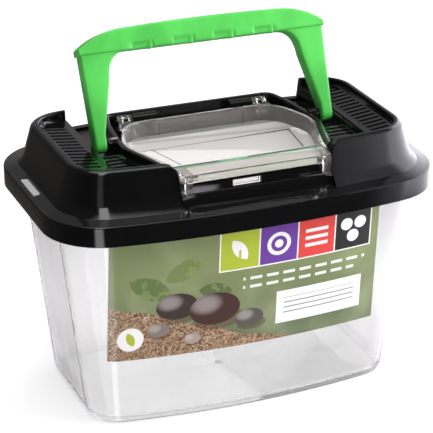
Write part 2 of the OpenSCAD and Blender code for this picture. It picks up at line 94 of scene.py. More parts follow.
def place(name, about, value):
    """A point of the scene, in metres."""
    return FloatVectorProperty(
        name=name, description=about, default=value, size=3, subtype="TRANSLATION", unit="LENGTH"
    )


def colour(name, about, value):
    """A colour that the user may change."""
    return FloatVectorProperty(
        name=name, description=about, default=value, size=3, min=0.0, max=1.0, subtype="COLOR"
    )


class TankSizes(bpy.types.PropertyGroup):
    """Sizes of the clear tank, in millimetres."""

    height: length("Height", "Height to the top of the flange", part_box("tank")[0].z + 111.3)
    floor_plan: plan("Floor plan", "at the floor", (80.0, 46.5, 17.8))
    top_plan: plan("Top plan", "under the flange", (92.2, 57.3, 28.0))
    bow: length("Bow", "How far the long sides stand out in the middle", 5.1)
    wall: length("Wall", "Thickness of the walls", 1.8)
    floor: length("Floor", "Thickness of the floor", 2.2)
    foot_round: length("Foot rounding", "Radius of the rounded edge underneath", 3.4)
    flange: length("Flange width", "Width of the flange round the top", 4.4)
    flange_corner: length("Flange corner", "Corner radius of the flange", 32.4)
    flange_t: length("Flange thickness", "Thickness of the flange", 2.0)
    lip_round: length("Flange rounding", "Radius of the outer edges of the flange", 0.4)
    tab_length: length("Tab length", "Length of the locating tabs", 22.0)
    tab_t: length("Tab thickness", "Thickness of the locating tabs", 3.4)
    tab_out: length("Tab offset", "How far the tabs stand out past the flange", 1.2)
    tab_rise: length("Tab rise", "How far the tabs rise over the flange", 3.3)
    gate_r: length("Gate mark", "Radius of the moulding mark in the middle of the floor", 2.0)
    tint: colour("Tint", "Tint of the clear plastic", (0.988, 0.982, 0.982))


class SheetSizes(bpy.types.PropertyGroup):
    """Sizes and inks of the printed front sheet, in millimetres."""

    width: length("Width", "Width of the sheet", 139.0)
    height: length("Height", "Height of the sheet", 67.0)
    top: length("Top", "Height of the upper edge", 103.5)
    shift: length("Shift", "Sideways place of the middle", -4.5, -50.0)
    gaps: pair("Gaps", "Distance of the back and the front of the sheet from the wall", (0.1, 0.4))
    leaf_green: colour("Leaf green", "Upper background", (0.21, 0.25, 0.10))
    dusk_green: colour("Dusk green", "Lower background", (0.12, 0.15, 0.08))
    sand: colour("Sand", "Ground", (0.52, 0.34, 0.20))
    bark: colour("Bark", "Dark grains of the ground", (0.10, 0.045, 0.02))
    red: colour("Red", "Red square", (0.72, 0.045, 0.035))
    lime: colour("Lime", "Lime square", (0.42, 0.50, 0.02))
    purple: colour("Purple", "Purple square", (0.14, 0.035, 0.33))
    white: colour("White", "Unprinted paper", (0.86, 0.85, 0.82))
    black: colour("Black", "Black ink", (0.012, 0.012, 0.012))


class LidSizes(bpy.types.PropertyGroup):
    """Sizes and finish of the black lid, in millimetres."""

    skirt: plan("Skirt", "of the skirt", (100.0, 65.1, 31.0))
    skirt_low: length("Skirt foot", "Height of the lower edge of the skirt", 103.4)
    skirt_top: length("Skirt top", "Height of the upper edge of the skirt", 113.5)
    seat: length("Seat", "Height of the underside of the ledge", 111.5)
    foot: plan("Foot", "at the foot of the vent blocks", (93.0, 55.9, 25.0))
    foot_z: length("Foot height", "Height of the foot of the vent blocks", 115.7)
    rim: plan("Rim", "at the top of the rim", (86.0, 49.9, 19.0))
    rim_z: length("Rim height", "Height of the rim", 135.0)
    rim_w: length("Rim width", "Width of the rim", 3.7)
    rim_round: length("Rim rounding", "Radius of the outer edge of the rim", 2.0)
    skirt_round: length("Skirt rounding", "Radius of the upper edge of the skirt", 0.8)
    sweep: length("Sweep", "Height of the hollow curve at the foot of the blocks", 8.0)
    wall: length("Wall", "Thickness of the walls", 2.0)
    recess: length("Recess", "Half width of the front recess", 38.6)
    recess_round: length("Recess rounding", "Radius of the rolled sides of the recess", 7.0)
    notch: length("Notch", "Half width of the notch at the back", 64.6)
    channel_z: length("Channel", "Height of the floor of the handle channel", 123.5)
    slot: pair("Tab slot", "Inner and outer edge of the slots for the tabs", (94.2, 98.0))
    slot_half: length("Tab slot half", "Half length of the slots for the tabs", 11.2)
    slot_drop: length("Tab slot depth", "Depth of the pockets for the tabs", 2.4)
    bezel_top: length("Bezel top", "Height of the frame round the hatch", 131.4)
    bezel_wall: length("Bezel wall", "Thickness of the frame round the hatch", 2.4)
    bezel_front: length("Bezel front", "Front ends of the frame round the hatch", -46.5, -100.0)
    edge: length("Edge", "Radius of the small edge roundings", 0.5)
    cover: length("Cover", "How far the smooth skin stands off the plain moulding", 0.06)
    plastic: colour("Plastic", "Colour of the moulding", (0.003, 0.003, 0.0033))
    gloss: factor("Roughness", "Roughness of the gloss", 0.05)


class HatchLook(bpy.types.PropertyGroup):
    """Sizes and finish of the clear hatch, in millimetres."""

    tint: colour("Tint", "Tint of the clear plastic", (0.90, 0.87, 0.85))
    edge: length("Edge", "Radius of the small edge roundings", 0.3)
    top: length("Top", "Height of the upper edge of the walls", 130.8)
    tray_floor: length("Tray floor", "Height of the inside of the tray", 122.8)
    land_back: length("Land", "Back edge of the flat land in front of the tray", -38.6, -100.0)
    wall: length("Wall", "Thickness of the walls", 1.6)
    fold_y: length("Fold", "Where the floor starts to rise to the back wall", 18.0)
    front: length("Front", "Front edge of the land", -52.6, -100.0)
    land_z: length("Land height", "Height of the land", 130.0)
    lip_low: length("Lip", "Lower edge of the lip in front of the land", 126.4)
    tab_w: length("Tab width", "Width of the finger tabs at the ends of the lip", 5.5)
    front_half_w: length("Front half width", "Half width of the land in front", 35.8)
    land_half_w: length("Land half width", "Half width of the land at its back edge", 38.8)
    hinge: pair("Hinge", "Place of the hinge, front to back and up", (33.5, 127.7))
    ring_r: length("Ring radius", "Radius of the hinge rings", 3.95)
    ring: pair("Rings", "Inner and outer end of the hinge rings", (32.8, 40.2))
    film_gap: length("Film gap", "How far the frosted film stands off the plastic", 0.04)
    frost: colour("Frost", "Colour of the frosted film", (0.80, 0.78, 0.77))


class HandleSizes(bpy.types.PropertyGroup):
    """Sizes of the handle, in millimetres, measured from its pivots before it leans."""

    pivot: pair("Pivots", "Place of the pivots, front to back and up", (3.0, 130.0))
    lean: angle("Lean", "Lean to the back", 22.5)
    leg_in: length("Leg inside", "Inner side of the legs at the pivots", 57.0)
    leg_out: length("Leg outside", "Outer side of the legs at the pivots", 62.7)
    spread: length("Spread", "How far the legs spread by the top", 1.1)
    swell: length("Swell", "How much thicker the legs get towards the bar", 6.2)
    leg_d: length("Leg depth", "Depth of the legs", 8.8)
    bar_low: length("Bar underside", "Height of the underside of the bar", 43.3)
    bar_h: length("Bar height", "Height of the bar", 12.1)
    crown: length("Crown", "How far the top of the bar falls from its middle to the bends", 0.8)
    bar_d: length("Bar depth", "Depth of the bar", 10.4)
    bar_end: length("Bar end", "Half length of the bar", 64.4)
    bar_fall: length("Bar fall", "Length over which the ends fall away", 26.0)
    bar_nose: length("Bar nose", "Height of the blunt ends", 3.2)
    corner: length("Inner corner", "Radius of the inner corners", 10.5)
    edge: length("Edge", "Radius of the edge roundings", 1.1)
    notches: IntProperty(name="Notches", description="Number of finger notches", default=4)
    notch_pitch: length("Notch spacing", "Spacing of the finger notches", 21.4)
    notch_w: length("Notch width", "Length of a finger notch", 11.5)
    notch_h: length("Notch height", "Height of a finger notch", 3.6)
    notch_d: length("Notch depth", "Depth of a finger notch", 1.1)
    knob: length("Notch knob", "Drop of the small knob at the end of a finger notch", 0.7)
    pin_r: length("Pin radius", "Radius of the pivot pins", 1.6)
    pin_end: length("Pin end", "Inner end of the pivot pins", 53.1)
    green: colour("Green", "Colour of the moulding", (0.068, 0.45, 0.068))


class StudioSetup(bpy.types.PropertyGroup):
    """Camera, floor and lights."""

    camera: place("Camera", "Place of the camera", (-0.3301, -0.8293, 0.4605))
    target: place("Target", "Point that the camera looks at", (0.00213, 0.0, 0.08322))
    lamp_target: place("Lamp target", "Point that the lamps look at", (0.0, 0.0, 0.1))
    lens: FloatProperty(
        name="Lens", description="Focal length in millimetres", default=160.26, unit="CAMERA"
    )
    shift: FloatVectorProperty(
        name="Shift", description="Shift of the picture to the side and up", size=2,
        default=(-0.0103, 0.0006),
    )
    roll: angle("Roll", "Roll of the camera", -0.33)
    floor_tone: colour("Floor", "Colour of the floor", (0.45, 0.45, 0.45))
    floor_glow: factor("Floor glow", "Light given off by the floor", 0.62)


# ---------------------------------------------------------------- surfaces


class Shell:
    """Grids and caps of one piece, gathered as arrays in metres and built once."""

    def __init__(self):
        self.points = []
        self.faces = []
        self.count = 0

    def _take(self, points):
        start = self.count
        self.points.append(points.reshape(-1, 3))
        self.count += len(self.points[-1])
        return start

    def grid(self, points, wrap=False, flip=False):
        """Quads between neighbouring rows and columns; wrap joins the last to the first."""
        rows, cols = points.shape[:2]
        index = self._take(points) + np.arange(rows * cols).reshape(rows, cols)
        if wrap:
            index = np.concatenate([index, index[:, :1]], 1)
        quads = np.stack([index[:-1, :-1], index[:-1, 1:], index[1:, 1:], index[1:, :-1]], -1)
        if flip:
            quads = quads[..., ::-1]
        self.faces += quads.reshape(-1, 4).tolist()
        return self

    def cap(self, loop, flip=False):
        """One flat face over a closed loop of points."""
        index = self._take(loop) + np.arange(len(loop))
        self.faces.append((index[::-1] if flip else index).tolist())
        return self

    def build(self, name, sharp=35.0, merge=2e-6):
        """A mesh object with welded corners and edges over sharp degrees hard."""
        mesh = bpy.data.meshes.new(name)
        mesh.from_pydata(np.concatenate(self.points).tolist(), [], self.faces)
        weld(mesh, merge, thin=merge / 2)
        return shown(name, mesh, sharp)


def weld(mesh, merge, thin=0.0, flat=0.0):
    """Merges doubles, drops edges shorter than thin, joins faces that lie within flat degrees
    of one plane and turns the normals outwards."""
    work = bmesh.new()
    work.from_mesh(mesh)
    bmesh.ops.remove_doubles(work, verts=work.verts, dist=merge)
    if thin:
        bmesh.ops.dissolve_degenerate(work, edges=work.edges, dist=thin)
    if flat:
        bmesh.ops.dissolve_limit(
            work, angle_limit=math.radians(flat), verts=work.verts, edges=work.edges
        )
    bmesh.ops.recalc_face_normals(work, faces=work.faces)
    work.to_mesh(mesh)
    work.free()


def shown(name, mesh, sharp):
    """Links a mesh as an object at the origin, smooth but for edges over sharp degrees."""
    piece = bpy.data.objects.new(name, mesh)
    bpy.context.scene.collection.objects.link(piece)
    mesh.shade_smooth()
    mesh.set_sharp_from_angle(angle=math.radians(sharp))
    return piece


def steps(count):
    """Even steps from 0 to 1, both ends included."""
    return np.linspace(0.0, 1.0, count)


def arcs(half_w, half_d, corner, bow):
    """The arcs of a bowed outline: the centre of the corner circle, the radius of the long side
    and the angle at which the side touches the corner.

    The long side is an arc through the middle point that drops by bow at the start of the
    corner; its radius follows from where it meets the corner circle.
    """
    cx, cy = half_w - corner, half_d - bow - corner
    big = (cx**2 + (cy - half_d) ** 2 - corner**2) / (2 * bow)
    return cx, cy, big, np.arctan2(cx, cy + big - half_d)


def bowed_outline(plans, bow, side=16, bend=18):
    """Closed outlines seen from above, one row for each (half width, half depth, corner).

    Each quarter is the arc of the long side up to the touching angle, then the corner arc to
    the straight end. The other quarters are mirror pictures.
    """
    half_w, half_d, corner = plans.T[:, :, None]
    cx, cy, big, turn = arcs(half_w, half_d, corner, bow)
    a = turn * steps(side)[None, :-1]
    b = turn + (QUARTER_TURN - turn) * steps(bend)[None]
    x = np.concatenate([big * np.sin(a), cx + corner * np.sin(b)], 1)
    y = np.concatenate([half_d - big + big * np.cos(a), cy + corner * np.cos(b)], 1)
    quarter = np.stack([x, y], -1)
    return np.concatenate([
        quarter, quarter[:, ::-1] * (1, -1), -quarter[:, 1:], quarter[:, -1:0:-1] * (-1, 1)], 1)


def strip(sizes, bow, front_x, back_x, ends=(), arc=16):
    """Lines seen from above along the right half of bowed outlines, one row for each size.

    A size starts with (half width, half depth, corner). A line starts on the front at the first
    of front_x, passes the others, goes on in even steps to the corner, turns round it, passes
    the y values of ends on the straight end, turns round the back corner and comes back in even
    steps to back_x.
    """
    half_w, half_d, corner = np.array(sizes, float).T[:3, :, None]
    cx, cy, big, turn = arcs(half_w, half_d, corner, bow)

    def side(given):
        """The given x values and even steps on to the corner, each on the arc of the side."""
        given = np.broadcast_to(np.array(given, float)[None], (len(cx), len(given)))
        even = given[:, -1:] + (big * np.sin(turn) - given[:, -1:]) * steps(12)[None, 1:-1]
        x = np.concatenate([given, even], 1)
        return np.stack([x, half_d - big + np.sqrt(big**2 - x**2)], -1)

    b = turn + (QUARTER_TURN - turn) * steps(arc)[None]
    bend = np.stack([cx + corner * np.sin(b), cy + corner * np.cos(b)], -1)
    y = np.broadcast_to(np.array(ends, float)[None], (len(cx), len(ends)))
    end = np.stack([half_w + 0 * y, y], -1)
    to_front = (1, -1)
    return np.concatenate([
        side(front_x) * to_front, bend * to_front, end, bend[:, ::-1],
        side(back_x[::-1])[:, ::-1]], 1)


# Right halves of the waisted plans of the frame and the tray, from the front to the back:
# x, y and the length over which the corner is eased
FRAME_PLAN = ((38.1, -55.0, 0), (42.1, -34.0, 3.7), (49.8, -9.0, 3.7), (49.8, 0.0, 3.7),
              (46.8, 25.0, 3.7), (43.4, 37.6, 3.2))
TRAY_PLAN = ((37.5, -52.6, 0), (41.5, -34.0, 3.7), (49.2, -9.0, 3.7), (49.2, 0.0, 3.7),
             (41.0, 25.0, 14.0))


def both_halves(right):
    """The right half of a line, followed by its mirror picture back to where it began."""
    return np.concatenate([right, right[:, -2::-1] * (-1, 1)], 1)


def eased(corners):
    """A closed outline whose corners are parabolas; a corner is (x, y, length of its easing)."""
    corners = np.array(corners, float)
    at, reach = corners[:, :2], corners[:, 2:]
    back, on = np.roll(at, 1, 0) - at, np.roll(at, -1, 0) - at
    start = at + back / np.linalg.norm(back, axis=1)[:, None] * reach
    stop = at + on / np.linalg.norm(on, axis=1)[:, None] * reach
    return np.concatenate([
        curve(a, b, c, 12 if r else 1) for a, b, c, r in zip(start, at, stop, reach[:, 0])])


def raised(line, z):
    """Lines seen from above given their heights, in metres."""
    return np.concatenate([line, np.broadcast_to(z, line.shape[:2])[..., None]], -1) * MM


def waisted(half):
    """The closed outline whose right half is given, with eased corners."""
    return eased((*half, *((-x, y, r) for x, y, r in reversed(half))))


def set_off(line, out, closed=True):
    """A line seen from above, set off to its right by each value of out along mitred normals."""
    first, last = line[-1], line[0]
    if not closed:
        first, last = 2 * line[0] - line[1], 2 * line[-1] - line[-2]
    ahead = np.diff(np.concatenate([[first], line, [last]]), axis=0)
    ahead /= np.linalg.norm(ahead, axis=1)[:, None]
    normal = np.stack([ahead[:, 1], -ahead[:, 0]], -1)
    miter = normal[:-1] + normal[1:]
    miter /= np.sum(miter * normal[1:], 1)[:, None]
    return line[None] + miter[None] * np.atleast_1d(out)[:, None, None]


def front_of(half_w, half_d, corner, bow, x):
    """Distance of the front wall from the middle plane at x, by the arcs of the outline."""
    cx, cy, big, turn = arcs(half_w, half_d, corner, bow)
    side = half_d - big + np.sqrt(np.maximum(big**2 - x**2, 0))
    bend = cy + np.sqrt(np.maximum(corner**2 - (np.abs(x) - cx) ** 2, 0))
    return np.where(np.abs(x) < big * np.sin(turn), side, bend)


def curve(a, b, c, count):
    """Points on the parabola that leaves a towards b and arrives at c from b."""
    t = steps(count)[:, None]
    a, b, c = (np.array(p, float) for p in (a, b, c))
    return (1 - t) ** 2 * a + 2 * t * (1 - t) * b + t**2 * c


def ribbon(inner, outer, half_depth, edge, corner_steps=5, across=6):
    """Closed sections carried along two lines in the X-Z plane, as rows of a wrapped grid.

    At each step the section spans from inner to outer and from -half_depth to +half_depth in Y.
    Its four corners are quarter circles of radius edge; half_depth may change along the way.
    """
    inner, outer = np.array(inner, float), np.array(outer, float)
    depth = np.broadcast_to(half_depth, len(inner)).astype(float)[:, None]
    span = np.linalg.norm(outer - inner, axis=1)[:, None]
    along = (outer - inner) / span
    r = np.minimum(edge, np.minimum(span, 2 * depth) * 0.45)
    a = steps(corner_steps)[None] * QUARTER_TURN
    near, far = r * (1 - np.cos(a)), r * (1 - np.sin(a))
    up = r + (span - 2 * r) * steps(across)[None, 1:-1]
    s = np.concatenate([near, up, span - near[:, ::-1]], 1)
    y = np.concatenate([far - depth, 0 * up - depth, (far - depth)[:, ::-1]], 1)
    s, y = np.concatenate([s, s[:, ::-1]], 1), np.concatenate([y, -y[:, ::-1]], 1)
    return np.stack([inner[:, :1] + along[:, :1] * s, y, inner[:, 1:] + along[:, 1:] * s], -1)


def lathe_rows(profile, turns=32):
    """A profile of (radius, height) pairs turned about the Z axis."""
    turn = np.linspace(0, 2 * math.pi, turns, endpoint=False)
    r, h = np.array(profile, float).T[:, :, None]
    return np.stack([r * np.cos(turn), r * np.sin(turn), h + 0 * turn], -1)


def welded_copy(node, name, sharp, flat=0.0, edge=0.0, sink=()):
    """A welded copy of a CAD node, as a piece.

    Triangles within flat degrees of one plane are joined, and sharp edges are rounded by edge.
    Each (height, drop) of sink lowers the points that lie at that height, so that a smooth skin
    over them can have rounder edges.
    """
    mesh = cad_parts[node].data.copy()
    weld(mesh, 3e-6, flat=flat)
    mesh.materials.clear()
    at = np.empty(len(mesh.vertices) * 3)
    mesh.vertices.foreach_get("co", at)
    for height, drop in sink:
        at[2::3] -= drop * MM * (np.abs(at[2::3] / MM - height) < 0.06)
    mesh.vertices.foreach_set("co", at)
    mesh.update()
    piece = shown(name, mesh, sharp)
    if not edge:
        return piece
    bevel = piece.modifiers.new("Edges", "BEVEL")
    bevel.width = edge * MM
    bevel.segments = 2
    bevel.limit_method = "ANGLE"
    bevel.angle_limit = math.radians(sharp)
    bevel.harden_normals = True
    bevel.miter_outer = "MITER_ARC"
    return piece


# ---------------------------------------------------------------- shader maths


def math_node(operation, swapped=False):
    """A method of a socket that adds a Math node; swapped puts the other value first."""

    def method(self, *other):
        values = (*other, self) if swapped else (self, *other)
        settings = {"operation": operation}
        return self.shade.node("ShaderNodeMath", settings, dict(enumerate(values)))

    return method


class Sock:
    """A node socket that sums, scales and compares like a number."""

    def __init__(self, shade, socket):
        self.shade, self.socket = shade, socket

    __add__ = __radd__ = math_node("ADD")
    __sub__, __rsub__ = math_node("SUBTRACT"), math_node("SUBTRACT", swapped=True)
    __mul__ = __rmul__ = math_node("MULTIPLY")
    __truediv__ = math_node("DIVIDE")
    __pow__ = math_node("POWER")
    __abs__ = math_node("ABSOLUTE")
    __lt__, __gt__ = math_node("LESS_THAN"), math_node("GREATER_THAN")
    __or__, __and__ = math_node("MAXIMUM"), math_node("MINIMUM")
    fraction = math_node("FRACT")


class Shade:
    """One material and its nodes, ending in a Principled surface."""

    def __init__(self, name):
        self.material = bpy.data.materials.new(name)
        self.material.use_nodes = True
        self.tree = self.material.node_tree
        self.surface = self.tree.nodes["Principled BSDF"]

    def node(self, kind, settings=None, inputs=None, output=0):
        """Adds a node, sets its settings, then its inputs from values or sockets."""
        made = self.tree.nodes.new(kind)
        for key, value in (settings or {}).items():
            setattr(made, key, value)
        for key, value in (inputs or {}).items():
            self.feed(made.inputs[key], value)
        return Sock(self, made.outputs[output])

    def feed(self, socket, value):
        """Links a socket or sets a plain value; a colour of three parts is made opaque."""
        if isinstance(value, Sock):
            self.tree.links.new(value.socket, socket)
        elif socket.type == "RGBA":
            socket.default_value = (*value, 1.0)
        else:
            socket.default_value = value

    def vector(self, operation, first, second):
        """A Vector Math node; for SCALE the second value is a number."""
        inputs = {0: first, "Scale" if operation == "SCALE" else 1: second}
        return self.node("ShaderNodeVectorMath", {"operation": operation}, inputs)

    def where(self):
        """Object coordinates in millimetres."""
        return self.vector("SCALE", self.node("ShaderNodeTexCoord", output=3), 1 / MM)

    def parts(self, vector):
        """The x, y and z of a vector."""
        made = self.node("ShaderNodeSeparateXYZ", None, {0: vector}).socket.node
        return [Sock(self, output) for output in made.outputs]

    def noise(self, where, scale, detail=2.0, roughness=0.5, stretch=None):
        """Smooth noise from 0 to 1, with scale in turns per millimetre."""
        if stretch:
            where = self.vector("MULTIPLY", where, stretch)
        inputs = {"Vector": where, "Scale": scale, "Detail": detail, "Roughness": roughness}
        return self.node("ShaderNodeTexNoise", None, inputs)

    def mix(self, mask, low, high):
        """Colour low where mask is 0 and high where it is 1."""
        return self.node("ShaderNodeMix", {"data_type": "RGBA"}, {0: mask, 6: low, 7: high}, 2)

    def coats(self, tone, *layers):
        """A colour under layers, each a (mask, colour) that covers what is under it."""
        for mask, cover in layers:
            tone = self.mix(mask, tone, cover)
        return tone

    def ramp(self, value, low, high):
        """0 below low, 1 above high, and a smooth rise between."""
        inputs = {"Value": value, "From Min": low, "From Max": high}
        return self.node("ShaderNodeMapRange", {"interpolation_type": "SMOOTHSTEP"}, inputs)

    def band(self, value, half, soft):
        """1 where value is within half of 0, and a smooth fall to 0 at soft."""
        return 1.0 - self.ramp(abs(value), half, soft)

    def bump(self, height, distance, strength):
        """A normal bent by a height; distance is in millimetres."""
        inputs = {"Height": height, "Distance": distance * MM, "Strength": strength}
        return self.node("ShaderNodeBump", None, inputs)

    def finish(self, **sockets):
        """Sets the surface's sockets, named with underscores for spaces."""
        for key, value in sockets.items():
            self.feed(self.surface.inputs[key.replace("_", " ")], value)
        return self.material


class StudioSky(Shade):
    """Surroundings as masks over the direction: dim in front, a wall at the back, a broad light
    on the right with a dim panel beside it, a glow overhead and an upright beam on the front
    left."""

    def __init__(self, world):
        self.tree = world.node_tree
        self.surface = self.tree.nodes["Background"]

    def build(self):
        x, y, z = self.parts(self.node("ShaderNodeTexCoord"))
        right = x + 0.09 * y
        low_light, high_light = 1.0 - self.ramp(z, -0.2, 0.1), self.ramp(z, 0.6, 0.9)
        back_wall = self.mix(self.ramp(z, -0.3, 0.35), (0.16, 0.15, 0.145), (0.32, 0.31, 0.32))
        back_wall = self.mix(self.ramp(x, -0.45, 0.1), (0.08, 0.075, 0.07), back_wall)
        far_panel = self.ramp(right, 0.44, 0.49) & self.ramp(z, -0.08, 0.0) & (y < 0.0)
        near_panel = self.ramp(right, 0.50, 0.74) & self.ramp(z, -0.75, -0.15)
        near_panel = near_panel & (1.0 - self.ramp(z, 0.55, 0.75))
        beam = self.band(0.89 * x - 0.46 * y, 0.08, 0.15) & (y < -0.1)
        beam_light = 0.6 + 3.4 * low_light + 5.0 * high_light
        tone = self.coats(
            (0.01, 0.01, 0.011),
            (self.ramp(y + 0.3 * z - 0.25 * x, -0.2, 0.7), back_wall),
            (far_panel, (0.62, 0.62, 0.65)),
            (near_panel, (3.6, 3.5, 3.85)),
            (self.ramp(z, 0.90, 0.97), (2.6, 2.6, 2.6)),
            (beam, self.vector("SCALE", (1.0, 1.0, 1.03), beam_light)),
        )
        self.feed(self.surface.inputs["Color"], tone)


def clear_plastic(name, tint, body, marks, clear, painted_lid_shade=0.0):
    """Clear moulded plastic with faint flow marks.

    Body is the share of the surface that is there, marks the depth of the flow marks, clear the
    share of light that passes without being scattered, and the last of these how much darker the
    colour is painted
    towards a height of 100 mm: a painted shade for the shadow of the lid.
    """
    shade = Shade(name)
    where = shade.where()
    haze, grain = shade.noise(where, 0.035, 3.0), shade.noise(where, 1.4)
    flow = shade.noise(where, 0.11, stretch=(1.0, 1.0, 0.25))
    tone = shade.mix(shade.ramp(haze, 0.35, 0.75), tint, [0.955 * part for part in tint])
    # painted shade: the colour darkens towards the top, standing in for the shadow of the lid
    if painted_lid_shade:
        height = shade.parts(where)[2]
        tone = shade.mix(painted_lid_shade * shade.ramp(height, 45.0, 100.0), tone, (0.0, 0.0, 0.0))
    return shade.finish(
        Base_Color=tone,
        Roughness=0.008 * haze + 0.004 * grain,
        Normal=shade.bump(flow, marks, 0.5),
        Alpha=body + 0.06 * haze,
        Transmission_Weight=clear,
        IOR=1.46,
    )


def frosted_film(look):
    """A thin milky film: denser on the floor of the tray, with painted shade in crease lines that
    run round a flat panel, at the bend and towards the back wall, and denser on the land and its
    lip, with a painted reflection of the green handle and painted dark lines. Every mark is a mask
    over x, y, z."""
    shade = Shade("frosted tray film")
    where = shade.where()
    x, y, z = shade.parts(where)
    floor = z < look.tray_floor + 0.3
    # painted shade: the floor darker from the bend up to the back wall
    painted_back_shade = floor & shade.ramp(y, look.fold_y - 0.6, look.fold_y + 0.6)
    # painted shade in dark crease lines: a long one across the floor that widens to the right, and
    # a short one at each side
    painted_crease_shade = (abs(y - 4.3 - 0.02 * x) < 0.25 + 0.5 * shade.ramp(x, -10.0, 38.0)) & (abs(x) < 42)
    for off in (x - 0.12 * y - 40.5, x + 0.25 * y + 31.5):
        painted_crease_shade = painted_crease_shade | ((abs(off) < 0.35) & (abs(y + 8.0) < 12.5))
    painted_crease_shade = painted_crease_shade & floor
    # painted shade: a soft dark line across the floor where it bends up
    painted_fold_shade = shade.band(y - 12.0 + 0.1 * x, 0.4, 3.0) & floor
    land = (z > look.land_z) & (y < look.land_back)
    ahead = look.land_back - y
    # painted reflection of the green handle along the back of the land
    painted_handle_reflection = land & (ahead < 3.8)
    # painted shade: dark lines along the back edge of the land, broken in the middle, and along
    # its front edge
    painted_dark_back_edge = land & (ahead < 1.6) & ((x < -14.5) | (x > 0.5))
    painted_dark_front_edge = land & (ahead > look.land_back - look.front - 0.9)
    lip = y < look.front
    tone = shade.coats(
        look.frost,
        (floor, (0.80, 0.765, 0.75)),
        (0.4 * painted_fold_shade, (0.30, 0.27, 0.25)),
        (painted_crease_shade, (0.07, 0.06, 0.055)),
        (painted_back_shade, (0.24, 0.235, 0.23)),
        (land, (0.55, 0.51, 0.47)),
        (lip, (0.60, 0.62, 0.52)),
        (painted_handle_reflection, (0.16, 0.38, 0.20)),
        (painted_dark_back_edge | painted_dark_front_edge, (0.02, 0.03, 0.02)),
    )
    return shade.finish(
        Base_Color=tone,
        Roughness=0.35 + 0.1 * shade.noise(where, 0.06),
        Alpha=0.30 + 0.26 * floor + 0.32 * (land | lip)
        + 0.25 * (painted_crease_shade | painted_back_shade | painted_dark_back_edge | painted_dark_front_edge),
        IOR=1.3,
    )


def polished_ring(look):
    """Thick clear plastic on its pin: nearly a mirror, with a painted dark reflection in its
    middle band.
    """
    shade = Shade("polished hinge ring")
    where = shade.where()
    middle = sum(look.ring) / 2
    # painted reflection: the middle band of the ring is painted darker
    band = shade.band(abs(shade.parts(where)[0]) - middle, 0.8, 1.6)
    return shade.finish(
        Base_Color=shade.mix(band, (0.9, 0.9, 0.92), (0.30, 0.30, 0.31)),
        Roughness=0.05 + 0.05 * shade.noise(where, 0.5),
        Metallic=0.75,
        Transmission_Weight=1.0,
        IOR=1.49,
    )


def black_plastic(tone, roughness):
    """Glossy black moulding with a faint ripple, dust and fine rub marks."""
    shade = Shade("black lid plastic")
    where = shade.where()
    ripple, grain = shade.noise(where, 0.05), shade.noise(where, 2.6, 3.0, 0.6)
    rub = shade.noise(where, 0.5, 4.0, 0.65, stretch=(0.25, 1.0, 1.0))
    dust = shade.ramp(shade.noise(where, 6.0, 1.0), 0.70, 0.80)
    return shade.finish(
        Base_Color=shade.mix(0.04 * dust + 0.03 * rub, tone, (0.10, 0.10, 0.10)),
        Roughness=roughness + 0.05 * rub + 0.02 * grain,
        Normal=shade.bump(ripple + 0.02 * grain, 0.10, 0.3),
        Specular_IOR_Level=0.45,
        IOR=1.5,
    )


def green_plastic(tone):
    """Satin green moulding with a fine sanded grain and soft flow marks."""
    shade = Shade("green handle plastic")
    where = shade.where()
    flow = shade.noise(where, 0.06, stretch=(1.0, 1.0, 0.5))
    grain = shade.noise(where, 3.2, 3.0, 0.6)
    lighter = [min(1.0, 1.25 * part + 0.01) for part in tone]
    return shade.finish(
        Base_Color=shade.mix(shade.ramp(flow, 0.3, 0.7), tone, lighter),
        Roughness=0.30 + 0.12 * grain + 0.08 * flow,
        Normal=shade.bump(grain, 0.03, 0.5),
        Subsurface_Weight=0.12,
        Subsurface_Scale=0.004,
        Subsurface_Radius=(0.4, 1.0, 0.4),
        IOR=1.45,
    )


# Leaves of the printed sheet: x and z of the middle, size, tilt in degrees, colour
LEAVES = (
    (20, 38, 15, 62, (0.10, 0.16, 0.035)),
    (36, 46, 13, 118, (0.15, 0.22, 0.05)),
    (52, 33, 11, 80, (0.08, 0.12, 0.03)),
)
# Stones of the printed sheet: x and z of the middle, radius, colour
STONES = (
    (33, 27, 10.5, (0.045, 0.028, 0.020)),
    (52, 23, 13.0, (0.060, 0.022, 0.016)),
    (70, 15, 7.5, (0.10, 0.085, 0.075)),
    (24, 15, 5.5, (0.22, 0.18, 0.15)),
    (41, 8, 4.2, (0.36, 0.30, 0.25)),
)


